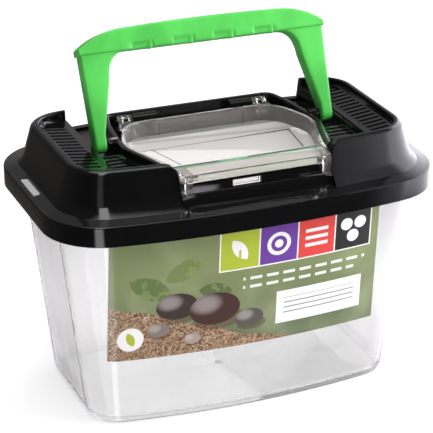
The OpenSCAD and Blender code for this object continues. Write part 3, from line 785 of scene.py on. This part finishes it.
def front_print(inks, left, low):
    """The printed sheet: green fading downwards, grainy ground with leaves and stones, a row of
    four squares with plain signs, rows of dashes, a ruled panel and a leaf mark.

    Every form is a mask over x and z in millimetres from the lower left corner of the sheet.
    """
    shade = Shade("printed sheet")
    where = shade.where()
    x, _, z = shade.parts(where)
    x, z = x - left, z - low

    def rect(x0, z0, x1, z1):
        return (x > x0) & (x < x1) & (z > z0) & (z < z1)

    def bar(x0, x1, middle, half):
        return rect(x0, middle - half, x1, middle + half)

    def disc(cx, cz, r, squeeze=1.0):
        dx, dz = x - cx, (z - cz) * squeeze
        return (dx * dx + dz * dz) < r * r

    def leaf(cx, cz, size, tilt):
        """The shared part of two discs, set side by side along the tilt."""
        turn, off = math.radians(tilt), 0.62 * size
        c, s = off * math.cos(turn), off * math.sin(turn)
        return disc(cx + c, cz + s, size) & disc(cx - c, cz - s, size)

    def stone(cx, cz, r, tone):
        """A flat disc in its shadow, with light from the upper left."""
        dx, dz = (x - cx) / r, (z - cz) * 1.45 / r
        form = 1 - shade.ramp(dx * dx + dz * dz, 0.93, 1.0)
        light = 1 - shade.ramp((dx + 0.35) ** 2.0 + (dz - 0.35) ** 2.0, 0.0, 0.55)
        shadow = disc(cx + 0.15 * r, cz - 0.45 * r, r, 2.2)
        glint = 0.38 * (form & light)
        return (0.6 * shadow, inks.bark), (form, tone), (glint, (0.62, 0.58, 0.56))

    soft, veins = shade.noise(where, 0.03, 3.0), shade.noise(where, 0.22) > 0.55
    layers = [
        (shade.ramp(z + 26 * soft, 6, 66), inks.leaf_green),
        (0.5 * shade.ramp(soft, 0.45, 0.8), (0.38, 0.44, 0.24)),
    ]
    for cx, cz, size, tilt, tone in LEAVES:
        blade = leaf(cx, cz, size, tilt)
        layers += [(0.8 * blade, tone), (0.35 * (blade & veins), (0.30, 0.38, 0.12))]
    grit, clumps = shade.noise(where, 0.9, 5.0, 0.75), shade.noise(where, 0.22, 4.0, 0.7)
    soil = shade.coats(
        inks.bark, (shade.ramp(grit, 0.40, 0.62), inks.sand),
        (0.7 * shade.ramp(clumps, 0.55, 0.75), (0.74, 0.60, 0.42)),
    )
    layers.append((z < 27 - 0.34 * x + 7.0 * shade.noise(where, 0.05, 3.0), soil))
    for row in STONES:
        layers += stone(*row)

    # the row of squares, each in a thin white frame, and their signs
    start, side, frame_w = 54.0, 19.5, 0.7
    low_edge, high_edge = inks.height - 24.0, inks.height - 3.6
    middle, pitch = (low_edge + high_edge) / 2, side + frame_w
    border = rect(start - frame_w, low_edge - frame_w, start + 4 * pitch, high_edge + frame_w)
    layers.append((border, inks.white))
    for i, tone in enumerate((inks.lime, inks.purple, inks.red, inks.black)):
        edge = start + i * pitch
        layers.append((rect(edge, low_edge, edge + side, high_edge), tone))
    signs = (
        leaf(63.7, middle, 8.6, 35) & (1 - rect(63.2, low_edge, 64.3, middle))
        | disc(83.9, middle, 6.2) & (1 - disc(83.9, middle, 4.2)) | disc(83.9, middle, 2.2)
        | bar(98.0, 110.2, middle - 3.9, 0.9) | bar(98.0, 110.2, middle, 0.9)
        | bar(98.0, 110.2, middle + 3.9, 0.9)
        | disc(120.6, middle + 3.2, 3.3) | disc(128.2, middle + 3.2, 3.3)
        | disc(124.4, middle - 3.6, 3.3)
    )
    # two rows of dashes, a card with ruled lines, a leaf on a disc and the white margin
    dashes = ((0.115 * x).fraction() < 0.72) & (bar(66, 132, 36.8, 0.8) | bar(66, 126, 32.2, 0.8))
    lines = ((0.36 * z).fraction() < 0.22) & rect(88, 12.5, 127, 22.5)
    screen = shade.noise(where, 2.2, 1.0)
    layers += [
        (signs, inks.white),
        (0.85 * dashes, inks.white),
        (rect(84, 8.5, 131, 26.5), inks.white),
        (0.75 * lines, inks.black),
        (disc(10.5, 11.5, 6.4), inks.white),
        (leaf(10.5, 11.5, 5.2, 20), inks.lime),
        (1 - rect(0.0, 0.0, inks.width, inks.height - 0.7), inks.white),
        (0.06 * screen, (0.5, 0.5, 0.5)),
    ]
    return shade.finish(
        Base_Color=shade.coats(inks.dusk_green, *layers),
        Roughness=0.26 + 0.10 * screen,
        Normal=shade.bump(shade.noise(where, 0.08), 0.12, 0.4),
        Coat_Weight=0.25,
    )


# ---------------------------------------------------------------- operators


class PieceOperator:
    """What every operator of this file shares."""

    bl_options = {"REGISTER", "UNDO"}

    @staticmethod
    def settle(piece, body, slot, material, node=None):
        """Gives a piece its material, its body and the node that it replaces; slot is not used."""
        piece.data.materials.append(material)
        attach(piece, body)
        if node:
            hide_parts(node)


class KEEPER_OT_tank(PieceOperator, bpy.types.Operator):
    """Builds the clear tank: walls, rounded foot, flange and its two locating tabs."""

    bl_idname = "keeper.tank"
    bl_label = "Tank"

    def execute(self, context):
        t = context.scene.keeper_tank
        tank = Shell().grid(self.rows(t), wrap=True).build("tank_moulding", sharp=50)
        # the tank's plastic gets a painted shade towards the top, for the shadow of the lid
        clear = clear_plastic(
            "clear tank plastic", t.tint, body=0.84, marks=0.1, clear=0.985, painted_lid_shade=0.22)
        self.settle(tank, "tank", "clear_tank", clear, "tank")
        tabs = Shell()
        for side in (-1, 1):
            self.tab(tabs, t, side)
        tabs.grid(self.gate(t), wrap=True)
        # painted highlight: the tabs and the gate mark take a paler, mostly opaque copy of the
        # clear plastic so that they read bright
        pale = clear_plastic(
            "tank plastic with painted highlights", (0.76, 0.76, 0.78), body=1.0, marks=0.9, clear=0.35)
        self.settle(tabs.build("tank_tabs", sharp=40), "tank", "clear_tank", pale)
        return {"FINISHED"}

    @staticmethod
    def gate(t):
        """The gate mark: a low stepped button turned about the middle of the floor. Its profile
        is given as shares of the radius and heights over the floor."""
        profile = ((0.0, 0.5), (0.3, 0.5), (0.4, 0.25), (0.8, 0.2), (1.0, -0.05))
        return lathe_rows([(r * t.gate_r, t.floor + z) for r, z in profile]) * MM

    @staticmethod
    def rows(t):
        """One profile from the middle of the underside, out and up the wall, over the flange,
        down the inside and back to the middle of the floor. Each point of the profile is a
        (half width, half depth, corner, height, scale) of a bowed outline; scale draws the
        outline in towards the middle for the flat floors."""
        a, b = steps(7) * QUARTER_TURN, steps(4)[:, None] * QUARTER_TURN
        foot, low, top = t.foot_round, np.array(t.floor_plan), np.array(t.top_plan)
        rim_low, r, levels = t.height - t.flange_t, t.lip_round, 14

        def points(plans, z):
            return np.column_stack([plans, z, np.ones(len(plans))])

        def wall(z, inset):
            """The drafted wall: the plan at height z, set in by inset."""
            k = np.clip((z - foot) / (t.height - foot), 0, 1)[:, None]
            return points(low + (top - low) * k - inset, z)

        def round_foot(base, inset):
            """A quarter circle from the floor at base to the wall, set in by inset."""
            plans = low - (inset + foot * (1 - np.sin(a)))[:, None]
            plans[:, 2] = np.maximum(1, plans[:, 2])
            return points(plans, base + foot * (1 - np.cos(a)))

        def flat(row, scales):
            return np.column_stack([np.repeat(row[None, :4], len(scales), 0), scales])

        flange = np.array([top[0] + t.flange, top[1] + t.flange, t.flange_corner])
        lip = points(flange - r + r * np.sin(b), rim_low + r - r * np.cos(b))
        lip_high = lip[::-1] * (1, 1, 1, -1, 1) + (0, 0, 0, t.height + rim_low, 0)
        outer, inner = round_foot(0.0, 0.0), round_foot(t.floor, t.wall)[::-1]
        scales = np.array([0.0, 0.03, 0.2, 0.5, 0.8, 0.95, 0.985])
        profile = np.concatenate([
            flat(outer[0], scales), outer, wall(np.linspace(foot, rim_low, levels)[1:], 0.0), lip,
            lip_high, wall(np.linspace(t.height, foot + t.floor, levels)[:-1], t.wall), inner,
            flat(inner[-1], scales[::-1])])
        line = bowed_outline(profile[:, :3], t.bow) * profile[:, 4:, None]
        return raised(line, profile[:, 3:4])

    @staticmethod
    def tab(shell, t, side):
        """A locating tab: an upright slab with rounded edges on the end of the flange."""
        x = side * (t.top_plan[0] + t.flange + t.tab_out)
        x_in = x - side * t.tab_t
        low, high = t.height - t.flange_t + 0.1, t.height + t.tab_rise
        section = ribbon([(x_in, low), (x_in, high)], [(x, low), (x, high)], t.tab_length / 2, 0.5)
        shell.grid(section * MM, wrap=True, flip=side < 0)
        shell.cap(section[-1] * MM, flip=side > 0)
        shell.cap(section[0] * MM, flip=side < 0)


class KEEPER_OT_sheet(PieceOperator, bpy.types.Operator):
    """Builds the printed front sheet, which follows the bowed front wall and its corners."""

    bl_idname = "keeper.sheet"
    bl_label = "Front sheet"

    def execute(self, context):
        t, s = context.scene.keeper_tank, context.scene.keeper_sheet
        low = s.top - s.height
        left = s.shift - s.width / 2
        rows, cols = 24, 90
        x = np.broadcast_to(left + s.width * steps(cols)[None], (rows, cols))
        z = np.broadcast_to(low + s.height * steps(rows)[:, None], (rows, cols))
        back, front = (self.face(t, x, z, gap) for gap in s.gaps)
        rim = [np.concatenate([g[0], g[:, -1], g[-1, ::-1], g[::-1, 0]]) for g in (front, back)]
        shell = Shell().grid(front).grid(back, flip=True).grid(np.stack(rim), wrap=True)
        sheet = shell.build("front_sheet", sharp=40)
        self.settle(sheet, "tank", "label_print", front_print(s, left, low), "front_label")
        return {"FINISHED"}

    @staticmethod
    def face(t, x, z, gap):
        """Points on the front wall, gap outside it, at the given x and z."""
        k = (z - t.foot_round) / (t.height - t.foot_round)
        sizes = (low + (top - low) * k + gap for low, top in zip(t.floor_plan, t.top_plan))
        return np.stack([x, -front_of(*sizes, t.bow, x), z], -1) * MM


class KEEPER_OT_lid(PieceOperator, bpy.types.Operator):
    """Builds the black lid: a welded moulding under a smooth skin of ledge, blocks and bezel."""

    bl_idname = "keeper.lid"
    bl_label = "Lid"

    def execute(self, context):
        m, bow = context.scene.keeper_lid, context.scene.keeper_tank.bow
        gloss = black_plastic(m.plastic, m.gloss)
        sink = ((m.rim_z, m.edge), (m.bezel_top, m.edge), (m.skirt_low, -m.edge))
        moulding = welded_copy("lid", "lid_moulding", sharp=36, flat=0.6, sink=sink)
        self.settle(moulding, "lid", "lid_plastic", gloss, "lid")
        shell = Shell()
        self.ledge(shell, m, bow)
        self.blocks(shell, m, bow)
        self.bezel(shell, m)
        self.settle(shell.build("lid_skin", sharp=38), "lid", "lid_plastic", gloss)
        return {"FINISHED"}

    @staticmethod
    def ledge(shell, m, bow):
        """Skirt and ledge: one closed section carried round the whole outline.

        Its rows are (half width, half depth, corner, height). The ledge dips into a pocket
        where the locating tabs of the tank come through. The back of the section is hidden
        in the walls of the moulding.
        """
        c, e, r = m.cover, m.edge, m.skirt_round
        full, foot = (np.array([*sizes, 0.0]) for sizes in (m.skirt, m.foot))

        def row(base, out, z):
            return base + (out, out, out, z)

        a = steps(5) * QUARTER_TURN
        low = [row(full, c - e + e * np.sin(t), m.skirt_low - c + e - e * np.cos(t)) for t in a]
        top = [row(full, c - r + r * np.cos(t), m.skirt_top - r + (r + c) * np.sin(t)) for t in a]
        shoulder, edge = row(full, -r, m.skirt_top + c), row(foot, 0.0, m.foot_z + c)
        # the sides of a pocket, the first line past them and two lines on its floor
        steep, past, on_floor = 0.1, 0.12, (96.5, 95.5)
        slot_in, slot_out = m.slot
        at = (slot_out + past, slot_out, *on_floor, slot_in, slot_in - past, foot[0])
        slope = [edge + (shoulder - edge) * (x - edge[0]) / (shoulder[0] - edge[0]) for x in at]
        hidden, hidden_foot, under, mid_skirt = 0.4 - m.wall, -1.2, m.seat + 0.3, 108.0
        rows = [row(full, hidden, m.skirt_low - c), *low, row(full, c, mid_skirt), *top, *slope,
                row(foot, hidden_foot, m.foot_z + c), row(foot, hidden_foot, under),
                row(full, hidden, under)]
        rows = np.array(rows + rows[:1])
        h, across = m.slot_half, (0, 20, 40)
        right = strip(rows, bow, across, across[::-1], (-h - past, -h, 0, h, h + past))
        line = both_halves(right)[:, :-1]
        x, y = np.abs(line[..., 0]), np.abs(line[..., 1])
        middle, half = (slot_in + slot_out) / 2, (slot_out - slot_in) / 2
        inside = (np.clip(1 - (np.abs(x - middle) - half) / steep, 0, 1)
                  * np.clip(1 - (y - h) / steep, 0, 1) * (rows[:, 3:] > m.seat + 1))
        shell.grid(raised(line, rows[:, 3:] - m.slot_drop * inside), wrap=True)

    @staticmethod
    def blocks(shell, m, bow):
        """Outer walls and rim of the vent blocks: a closed section carried from the right side
        of the front recess round the back to its left side.

        The height is cut off at the rolled sides of the recess, where it rises as
        rim - r (1 - sqrt(d / r)) squared with the distance d from the side, and at the low back
        wall between the posts.
        """
        c, e, r, out = m.cover, m.edge, m.rim_round, np.array([1, 1, 1, 0])
        base, brow = np.array([*m.foot, m.seat]), np.array([*m.rim, m.rim_z])
        lean = (np.array([*m.foot, 0]) - np.array([*m.rim, 0])) / (m.rim_z - m.foot_z)
        lean[2] = 0.0
        knee = brow + lean * r - (0, 0, 0, r)
        inner_top, inner_low = brow - out * m.rim_w, base - out * m.wall
        inner_top[3], inner_low[3] = m.rim_z + 1, m.seat - 1

        def between(low, high, z):
            """The point at height z on the line from low to high."""
            return low + (high - low) * (z - low[3]) / (high[3] - low[3])

        fillet = curve(base + (1.1, 3.6, 2.0, m.foot_z - m.seat - 0.7),
                       between(base, knee, m.foot_z + 0.4) + 0.1 * out,
                       between(base, knee, m.foot_z + m.sweep) + c * out, 12)
        rim = [brow + lean * r * (1 - np.sin(t)) - out * (r - (r + c) * np.cos(t))
               - (0, 0, 0, r - (r + c) * np.sin(t)) for t in steps(9) * QUARTER_TURN]
        brink = between(inner_top, inner_low, m.rim_z)
        roll = [brink + out * (e - (e + c) * np.sin(t)) - (0, 0, 0, e - (e + c) * np.cos(t))
                for t in steps(5) * QUARTER_TURN]
        walls = [between(base, knee, z) + c * out
                 for z in np.linspace(m.foot_z + m.sweep + 1, knee[3] - 1, 6)]
        down = [between(inner_top, inner_low, z) - c * out
                for z in np.linspace(m.rim_z - 2, m.channel_z - 0.3, 5)]
        rows = np.concatenate([fillet, walls, rim, roll, down, fillet[:1]])
        front = m.recess - 0.05 + m.recess_round * steps(9) ** 2
        back = (m.notch - 0.02, m.notch - 0.06, 48, 32, 16, 0)  # down at the notch, then across
        line = both_halves(strip(rows, bow, front, back))
        x, y = np.abs(line[..., 0]), line[..., 1]
        d = np.clip((x - m.recess) / m.recess_round, 0, 1)
        limit = np.where(y < 0, m.rim_z - m.recess_round * (1 - np.sqrt(d)) ** 2,
                         np.where(x < m.notch - 0.04, m.channel_z, m.rim_z))
        grid = raised(line, np.minimum(rows[:, 3:], limit + c))
        shell.grid(grid).cap(grid[:-1, 0]).cap(grid[:-1, -1], flip=True)

    @staticmethod
    def bezel(shell, m):
        """The upright frame round the hatch: a section with a rounded top carried along an eased
        outline and set off along its mitred normals, open over the front recess."""
        line = waisted(FRAME_PLAN)
        step = line[1] - line[0]
        cut = line[0] + step * (m.bezel_front - line[0][1]) / step[1]
        line[0], line[-1] = cut, cut * (-1, 1)
        c, e, a = m.cover, m.edge, steps(5) * QUARTER_TURN
        rise, run = (e + c) * np.sin(a), (e + c) * np.cos(a)
        out = np.concatenate([[-c], e - run, m.bezel_wall - e + rise, [m.bezel_wall + c, -c]])
        low, high = m.channel_z - 1, m.bezel_top - e
        z = np.concatenate([[low], high + rise, high + run, [low, low]])
        grid = raised(set_off(line, out, closed=False), z[:, None])
        shell.grid(grid).cap(grid[:-1, 0]).cap(grid[:-1, -1], flip=True)


class KEEPER_OT_hatch(PieceOperator, bpy.types.Operator):
    """Gives the clear hatch its rounded edges, its frosted film and its polished rings."""

    bl_idname = "keeper.hatch"
    bl_label = "Hatch"

    def execute(self, context):
        look = context.scene.keeper_hatch
        clear = clear_plastic("clear hatch plastic", look.tint, body=0.94, marks=0.0, clear=0.97)
        hatch = welded_copy("hatch", "hatch_moulding", sharp=30, edge=look.edge)
        self.settle(hatch, "hatch", "clear_hatch", clear, "hatch")
        self.settle(self.film(look), "hatch", "clear_hatch", frosted_film(look))
        self.settle(self.rings(look), "hatch", "clear_hatch", polished_ring(look))
        return {"FINISHED"}

    @staticmethod
    def film(look):
        """A skin a hair over the floor and the walls inside the tray, the land in front of it
        and the lip that drops from the land."""
        gap = look.film_gap
        line = set_off(waisted(TRAY_PLAN), gap - look.wall)[0]
        line = np.stack([line[:, 0], np.maximum(line[:, 1], look.land_back + gap)], -1)
        rows = np.array([[look.tray_floor + gap], [look.top - look.edge]])
        grid = raised(np.stack([line, line]), rows)
        w, back_w = look.front_half_w, look.land_half_w
        near, far = look.front + look.wall / 4, look.land_back - gap
        land = np.array([[(-w, near), (w, near), (back_w, far), (-back_w, far)]])
        land = raised(land, look.land_z + gap)[0]
        half, low, high = w - look.tab_w, look.lip_low + 0.2, look.land_z - look.edge
        lip = np.array([(-half, low), (half, low), (half, high), (-half, high)])
        lip = np.insert(lip, 1, look.front - gap, 1) * MM
        shell = Shell().grid(grid, wrap=True).cap(grid[0]).cap(land).cap(lip)
        return shell.build("hatch_film", sharp=30, merge=1e-9)

    @staticmethod
    def rings(look):
        """The two clear rings on the hinge pins: barrels turned about X, whose radius is the
        full one times the power 0.35 of the sine of an angle that runs from end to end."""
        a = math.pi * steps(25)
        x = look.ring[0] + (look.ring[1] - look.ring[0]) * (1 - np.cos(a)) / 2
        barrel = lathe_rows(np.column_stack([look.ring_r * np.sin(a) ** 0.35, x]), 48)
        rows = (barrel[..., [2, 0, 1]] + (0, *look.hinge)) * MM
        shell = Shell().grid(rows, wrap=True).grid(rows * (-1, 1, 1), wrap=True, flip=True)
        return shell.build("hatch_rings")


class KEEPER_OT_handle(PieceOperator, bpy.types.Operator):
    """Builds the handle: two swelling legs, a grip bar with finger notches and two pins."""

    bl_idname = "keeper.handle"
    bl_label = "Handle"

    def execute(self, context):
        h = context.scene.keeper_handle
        shell = Shell()
        self.leg(shell, h, 1)
        self.leg(shell, h, -1)
        self.bar(shell, h)
        handle = shell.build("handle_moulding", sharp=40)
        lean = Matrix.Rotation(-h.lean, 4, "X")
        to_pivot = Matrix.Translation(Vector((0, *h.pivot)) * MM)
        handle.data.transform(to_pivot @ lean)
        self.settle(handle, "handle", "handle_plastic", green_plastic(h.green), "handle")
        return {"FINISHED"}

    @staticmethod
    def leg(shell, h, side):
        """A leg as sections carried from the rounded foot up the inner face and round the inner
        corner; the outer end of each section climbs the outer face and then runs along the
        top."""
        r, few, turns = h.leg_d / 2, 9, 12
        x = h.leg_in - h.swell
        foot = np.linspace(-QUARTER_TURN * 0.96, 0, few)
        foot_z, foot_half = r * np.sin(foot), r * np.cos(foot)
        bend = curve((x, h.bar_low - 1.2 * h.corner), (x - 0.8, h.bar_low),
                     (x - h.corner, h.bar_low), turns)
        up = np.linspace((h.leg_in, r), bend[0], few)[1:-1]
        low = np.stack([np.full(few, h.leg_in), foot_z], 1)
        inner = np.concatenate([low, [[h.leg_in, r]], up, bend])
        top = h.bar_low + 0.5 * h.bar_nose
        z = np.concatenate([foot_z, [r], np.linspace(r, top, few)[1:-1], np.full(turns, top)])
        out = h.leg_out + h.spread * np.clip(z, 0, None) / top
        out[-turns:] = np.linspace(out[-turns], inner[-1, 0], turns)
        outer = np.stack([out, z], 1)
        half = np.concatenate([foot_half, np.full(len(inner) - few, r)])
        rows = ribbon(inner, outer, half, h.edge)
        rows[..., 0] *= side
        shell.grid(rows * MM, wrap=True, flip=side < 0)
        shell.cap(rows[0] * MM).cap(rows[-1] * MM)
        end, blunt = h.pin_end, 0.3
        pin = lathe_rows([(0.0, end), (h.pin_r - blunt, end), (h.pin_r, end + blunt),
                          (h.pin_r, h.leg_in + 1.0)], 24)[..., [2, 0, 1]]
        shell.grid(pin * (side * MM, MM, MM), wrap=True, flip=side > 0)

    @staticmethod
    def bar(shell, h):
        """The bar as upright sections carried along X. Its crowned top falls away to blunt ends.
        In each finger notch a smooth mask sets the lower part of the front face back, and a bell
        curve at one end of it lowers the front corner to a small knob."""
        half, top = h.bar_end, h.bar_low + h.bar_h
        flat = half - h.bar_fall
        bend = curve((half, h.bar_low + h.bar_nose), (half - 0.4 * h.bar_fall, top - h.crown),
                     (flat, top - h.crown), 16)[::-1]
        mid = np.linspace(0, flat, 90)[:-1]
        xs = np.concatenate([mid, bend[:, 0]])
        tops = np.concatenate([top - h.crown * (mid / flat) ** 2, bend[:, 1]])
        xs, tops = np.concatenate([-xs[:0:-1], xs]), np.concatenate([tops[:0:-1], tops])
        inner = np.stack([xs, np.full(len(xs), h.bar_low)], 1)
        outer = np.stack([xs, tops], 1)
        rows = ribbon(inner, outer, h.bar_d / 2, h.edge, across=12)
        centres = (np.arange(h.notches) - (h.notches - 1) / 2) * h.notch_pitch
        off, ease, knob_w = xs[:, None] - centres[None], 1.2, 1.1
        inside = np.clip((h.notch_w / 2 + 0.3 - np.abs(off).min(1)[:, None]) / 0.9, 0, 1)
        knob = np.exp(-(((off - h.notch_w / 2 + 1.6) / knob_w) ** 2)).sum(1)[:, None]
        front = np.clip(0.5 - rows[..., 1] / ease, 0, 1)
        low = np.clip((h.bar_low + h.notch_h - rows[..., 2]) / ease, 0, 1)
        rows[..., 1] += h.notch_d * inside * front * low * (1 - 0.6 * knob)
        rows[..., 2] -= h.knob * knob * front * np.clip(low - 0.8, 0, 0.2) * 5
        shell.grid(rows * MM, wrap=True, flip=True)
        shell.cap(rows[0] * MM).cap(rows[-1] * MM, flip=True)


class KEEPER_OT_studio(PieceOperator, bpy.types.Operator):
    """Sets up the pale floor, the soft lights and the camera."""

    bl_idname = "keeper.studio"
    bl_label = "Studio"

    def execute(self, context):
        s = context.scene.keeper_studio
        self.floor(s.floor_tone, s.floor_glow)
        self.lights(context, s.lamp_target)
        data = bpy.data.cameras.new("studio camera")
        data.lens, data.sensor_width = s.lens, 36.0
        data.shift_x, data.shift_y = s.shift
        data.clip_start, data.clip_end = 0.01, 20.0
        camera = bpy.data.objects.new("studio camera", data)
        context.scene.collection.objects.link(camera)
        camera.location = s.camera
        aim = (Vector(s.target) - Vector(s.camera)).to_track_quat("-Z", "Y")
        spin = Matrix.Rotation(s.roll, 4, "Z")
        camera.matrix_world = Matrix.Translation(s.camera) @ aim.to_matrix().to_4x4() @ spin
        context.scene.camera = camera
        return {"FINISHED"}

    @staticmethod
    def floor(tone, glow):
        """A wide round floor as a grid of rings, lit softly from within like a light table."""
        rows = lathe_rows([(radius, 0.0) for radius in (0.0, 0.5, 1.5, 4.0, 9.0)], 64)
        floor = Shell().grid(rows, wrap=True).build("studio_floor")
        shade = Shade("studio floor")
        cloud = shade.noise(shade.where(), 0.01)
        shade.finish(
            Base_Color=shade.mix(cloud, tone, [0.99 * part for part in tone]), Roughness=0.9,
            Emission_Color=(1.0, 1.0, 1.0), Emission_Strength=glow,
        )
        floor.data.materials.append(shade.material)
        floor.visible_glossy = False

    @staticmethod
    def lights(context, target):
        """The surroundings, and three soft lamps that glossy surfaces don't mirror."""
        world = bpy.data.worlds.new("studio")
        world.use_nodes = True
        context.scene.world = world
        StudioSky(world).build()
        context.scene.view_settings.view_transform = "Standard"
        for name, at, size, power in (
            ("key", (-0.2, -1.1, 1.7), 0.9, 9.0),
            ("right panel", (0.42, -0.34, 0.36), 0.3, 1.75),
            ("top", (0.1, 0.4, 1.8), 1.2, 7.0),
        ):
            data = bpy.data.lights.new(name, "AREA")
            data.size, data.energy = size, power
            lamp = bpy.data.objects.new(name, data)
            context.scene.collection.objects.link(lamp)
            lamp.location = at
            lamp.visible_glossy = False
            aim = Vector(target) - Vector(at)
            lamp.rotation_euler = aim.to_track_quat("-Z", "Y").to_euler()


class KEEPER_PT_sidebar(bpy.types.Panel):
    """Lists the pieces with their sizes and colours."""

    bl_label = "Pet keeper"
    bl_idname = "KEEPER_PT_sidebar"
    bl_space_type = "VIEW_3D"
    bl_region_type = "UI"
    bl_category = "Pet keeper"

    def draw(self, context):
        for operator, group in GROUPS.items():
            box = self.layout.box()
            box.operator(operator.bl_idname)
            for key in group.__annotations__:
                box.prop(getattr(context.scene, settings_of(operator)), key)


GROUPS = {
    KEEPER_OT_studio: StudioSetup, KEEPER_OT_tank: TankSizes, KEEPER_OT_sheet: SheetSizes,
    KEEPER_OT_lid: LidSizes, KEEPER_OT_hatch: HatchLook, KEEPER_OT_handle: HandleSizes,
}


def settings_of(operator):
    """The name under which the scene holds the settings of an operator."""
    return operator.bl_idname.replace(".", "_")


def register():
    for operator, group in GROUPS.items():
        bpy.utils.register_class(group)
        setattr(bpy.types.Scene, settings_of(operator), PointerProperty(type=group))
        bpy.utils.register_class(operator)
    bpy.utils.register_class(KEEPER_PT_sidebar)


def unregister():
    bpy.utils.unregister_class(KEEPER_PT_sidebar)
    for operator, group in reversed(GROUPS.items()):
        bpy.utils.unregister_class(operator)
        delattr(bpy.types.Scene, settings_of(operator))
        bpy.utils.unregister_class(group)


def main():
    """Runs every operator."""
    register()
    for operator in GROUPS:
        area, name = operator.bl_idname.split(".")
        getattr(getattr(bpy.ops, area), name)()


if __name__ == "__main__":
    main()
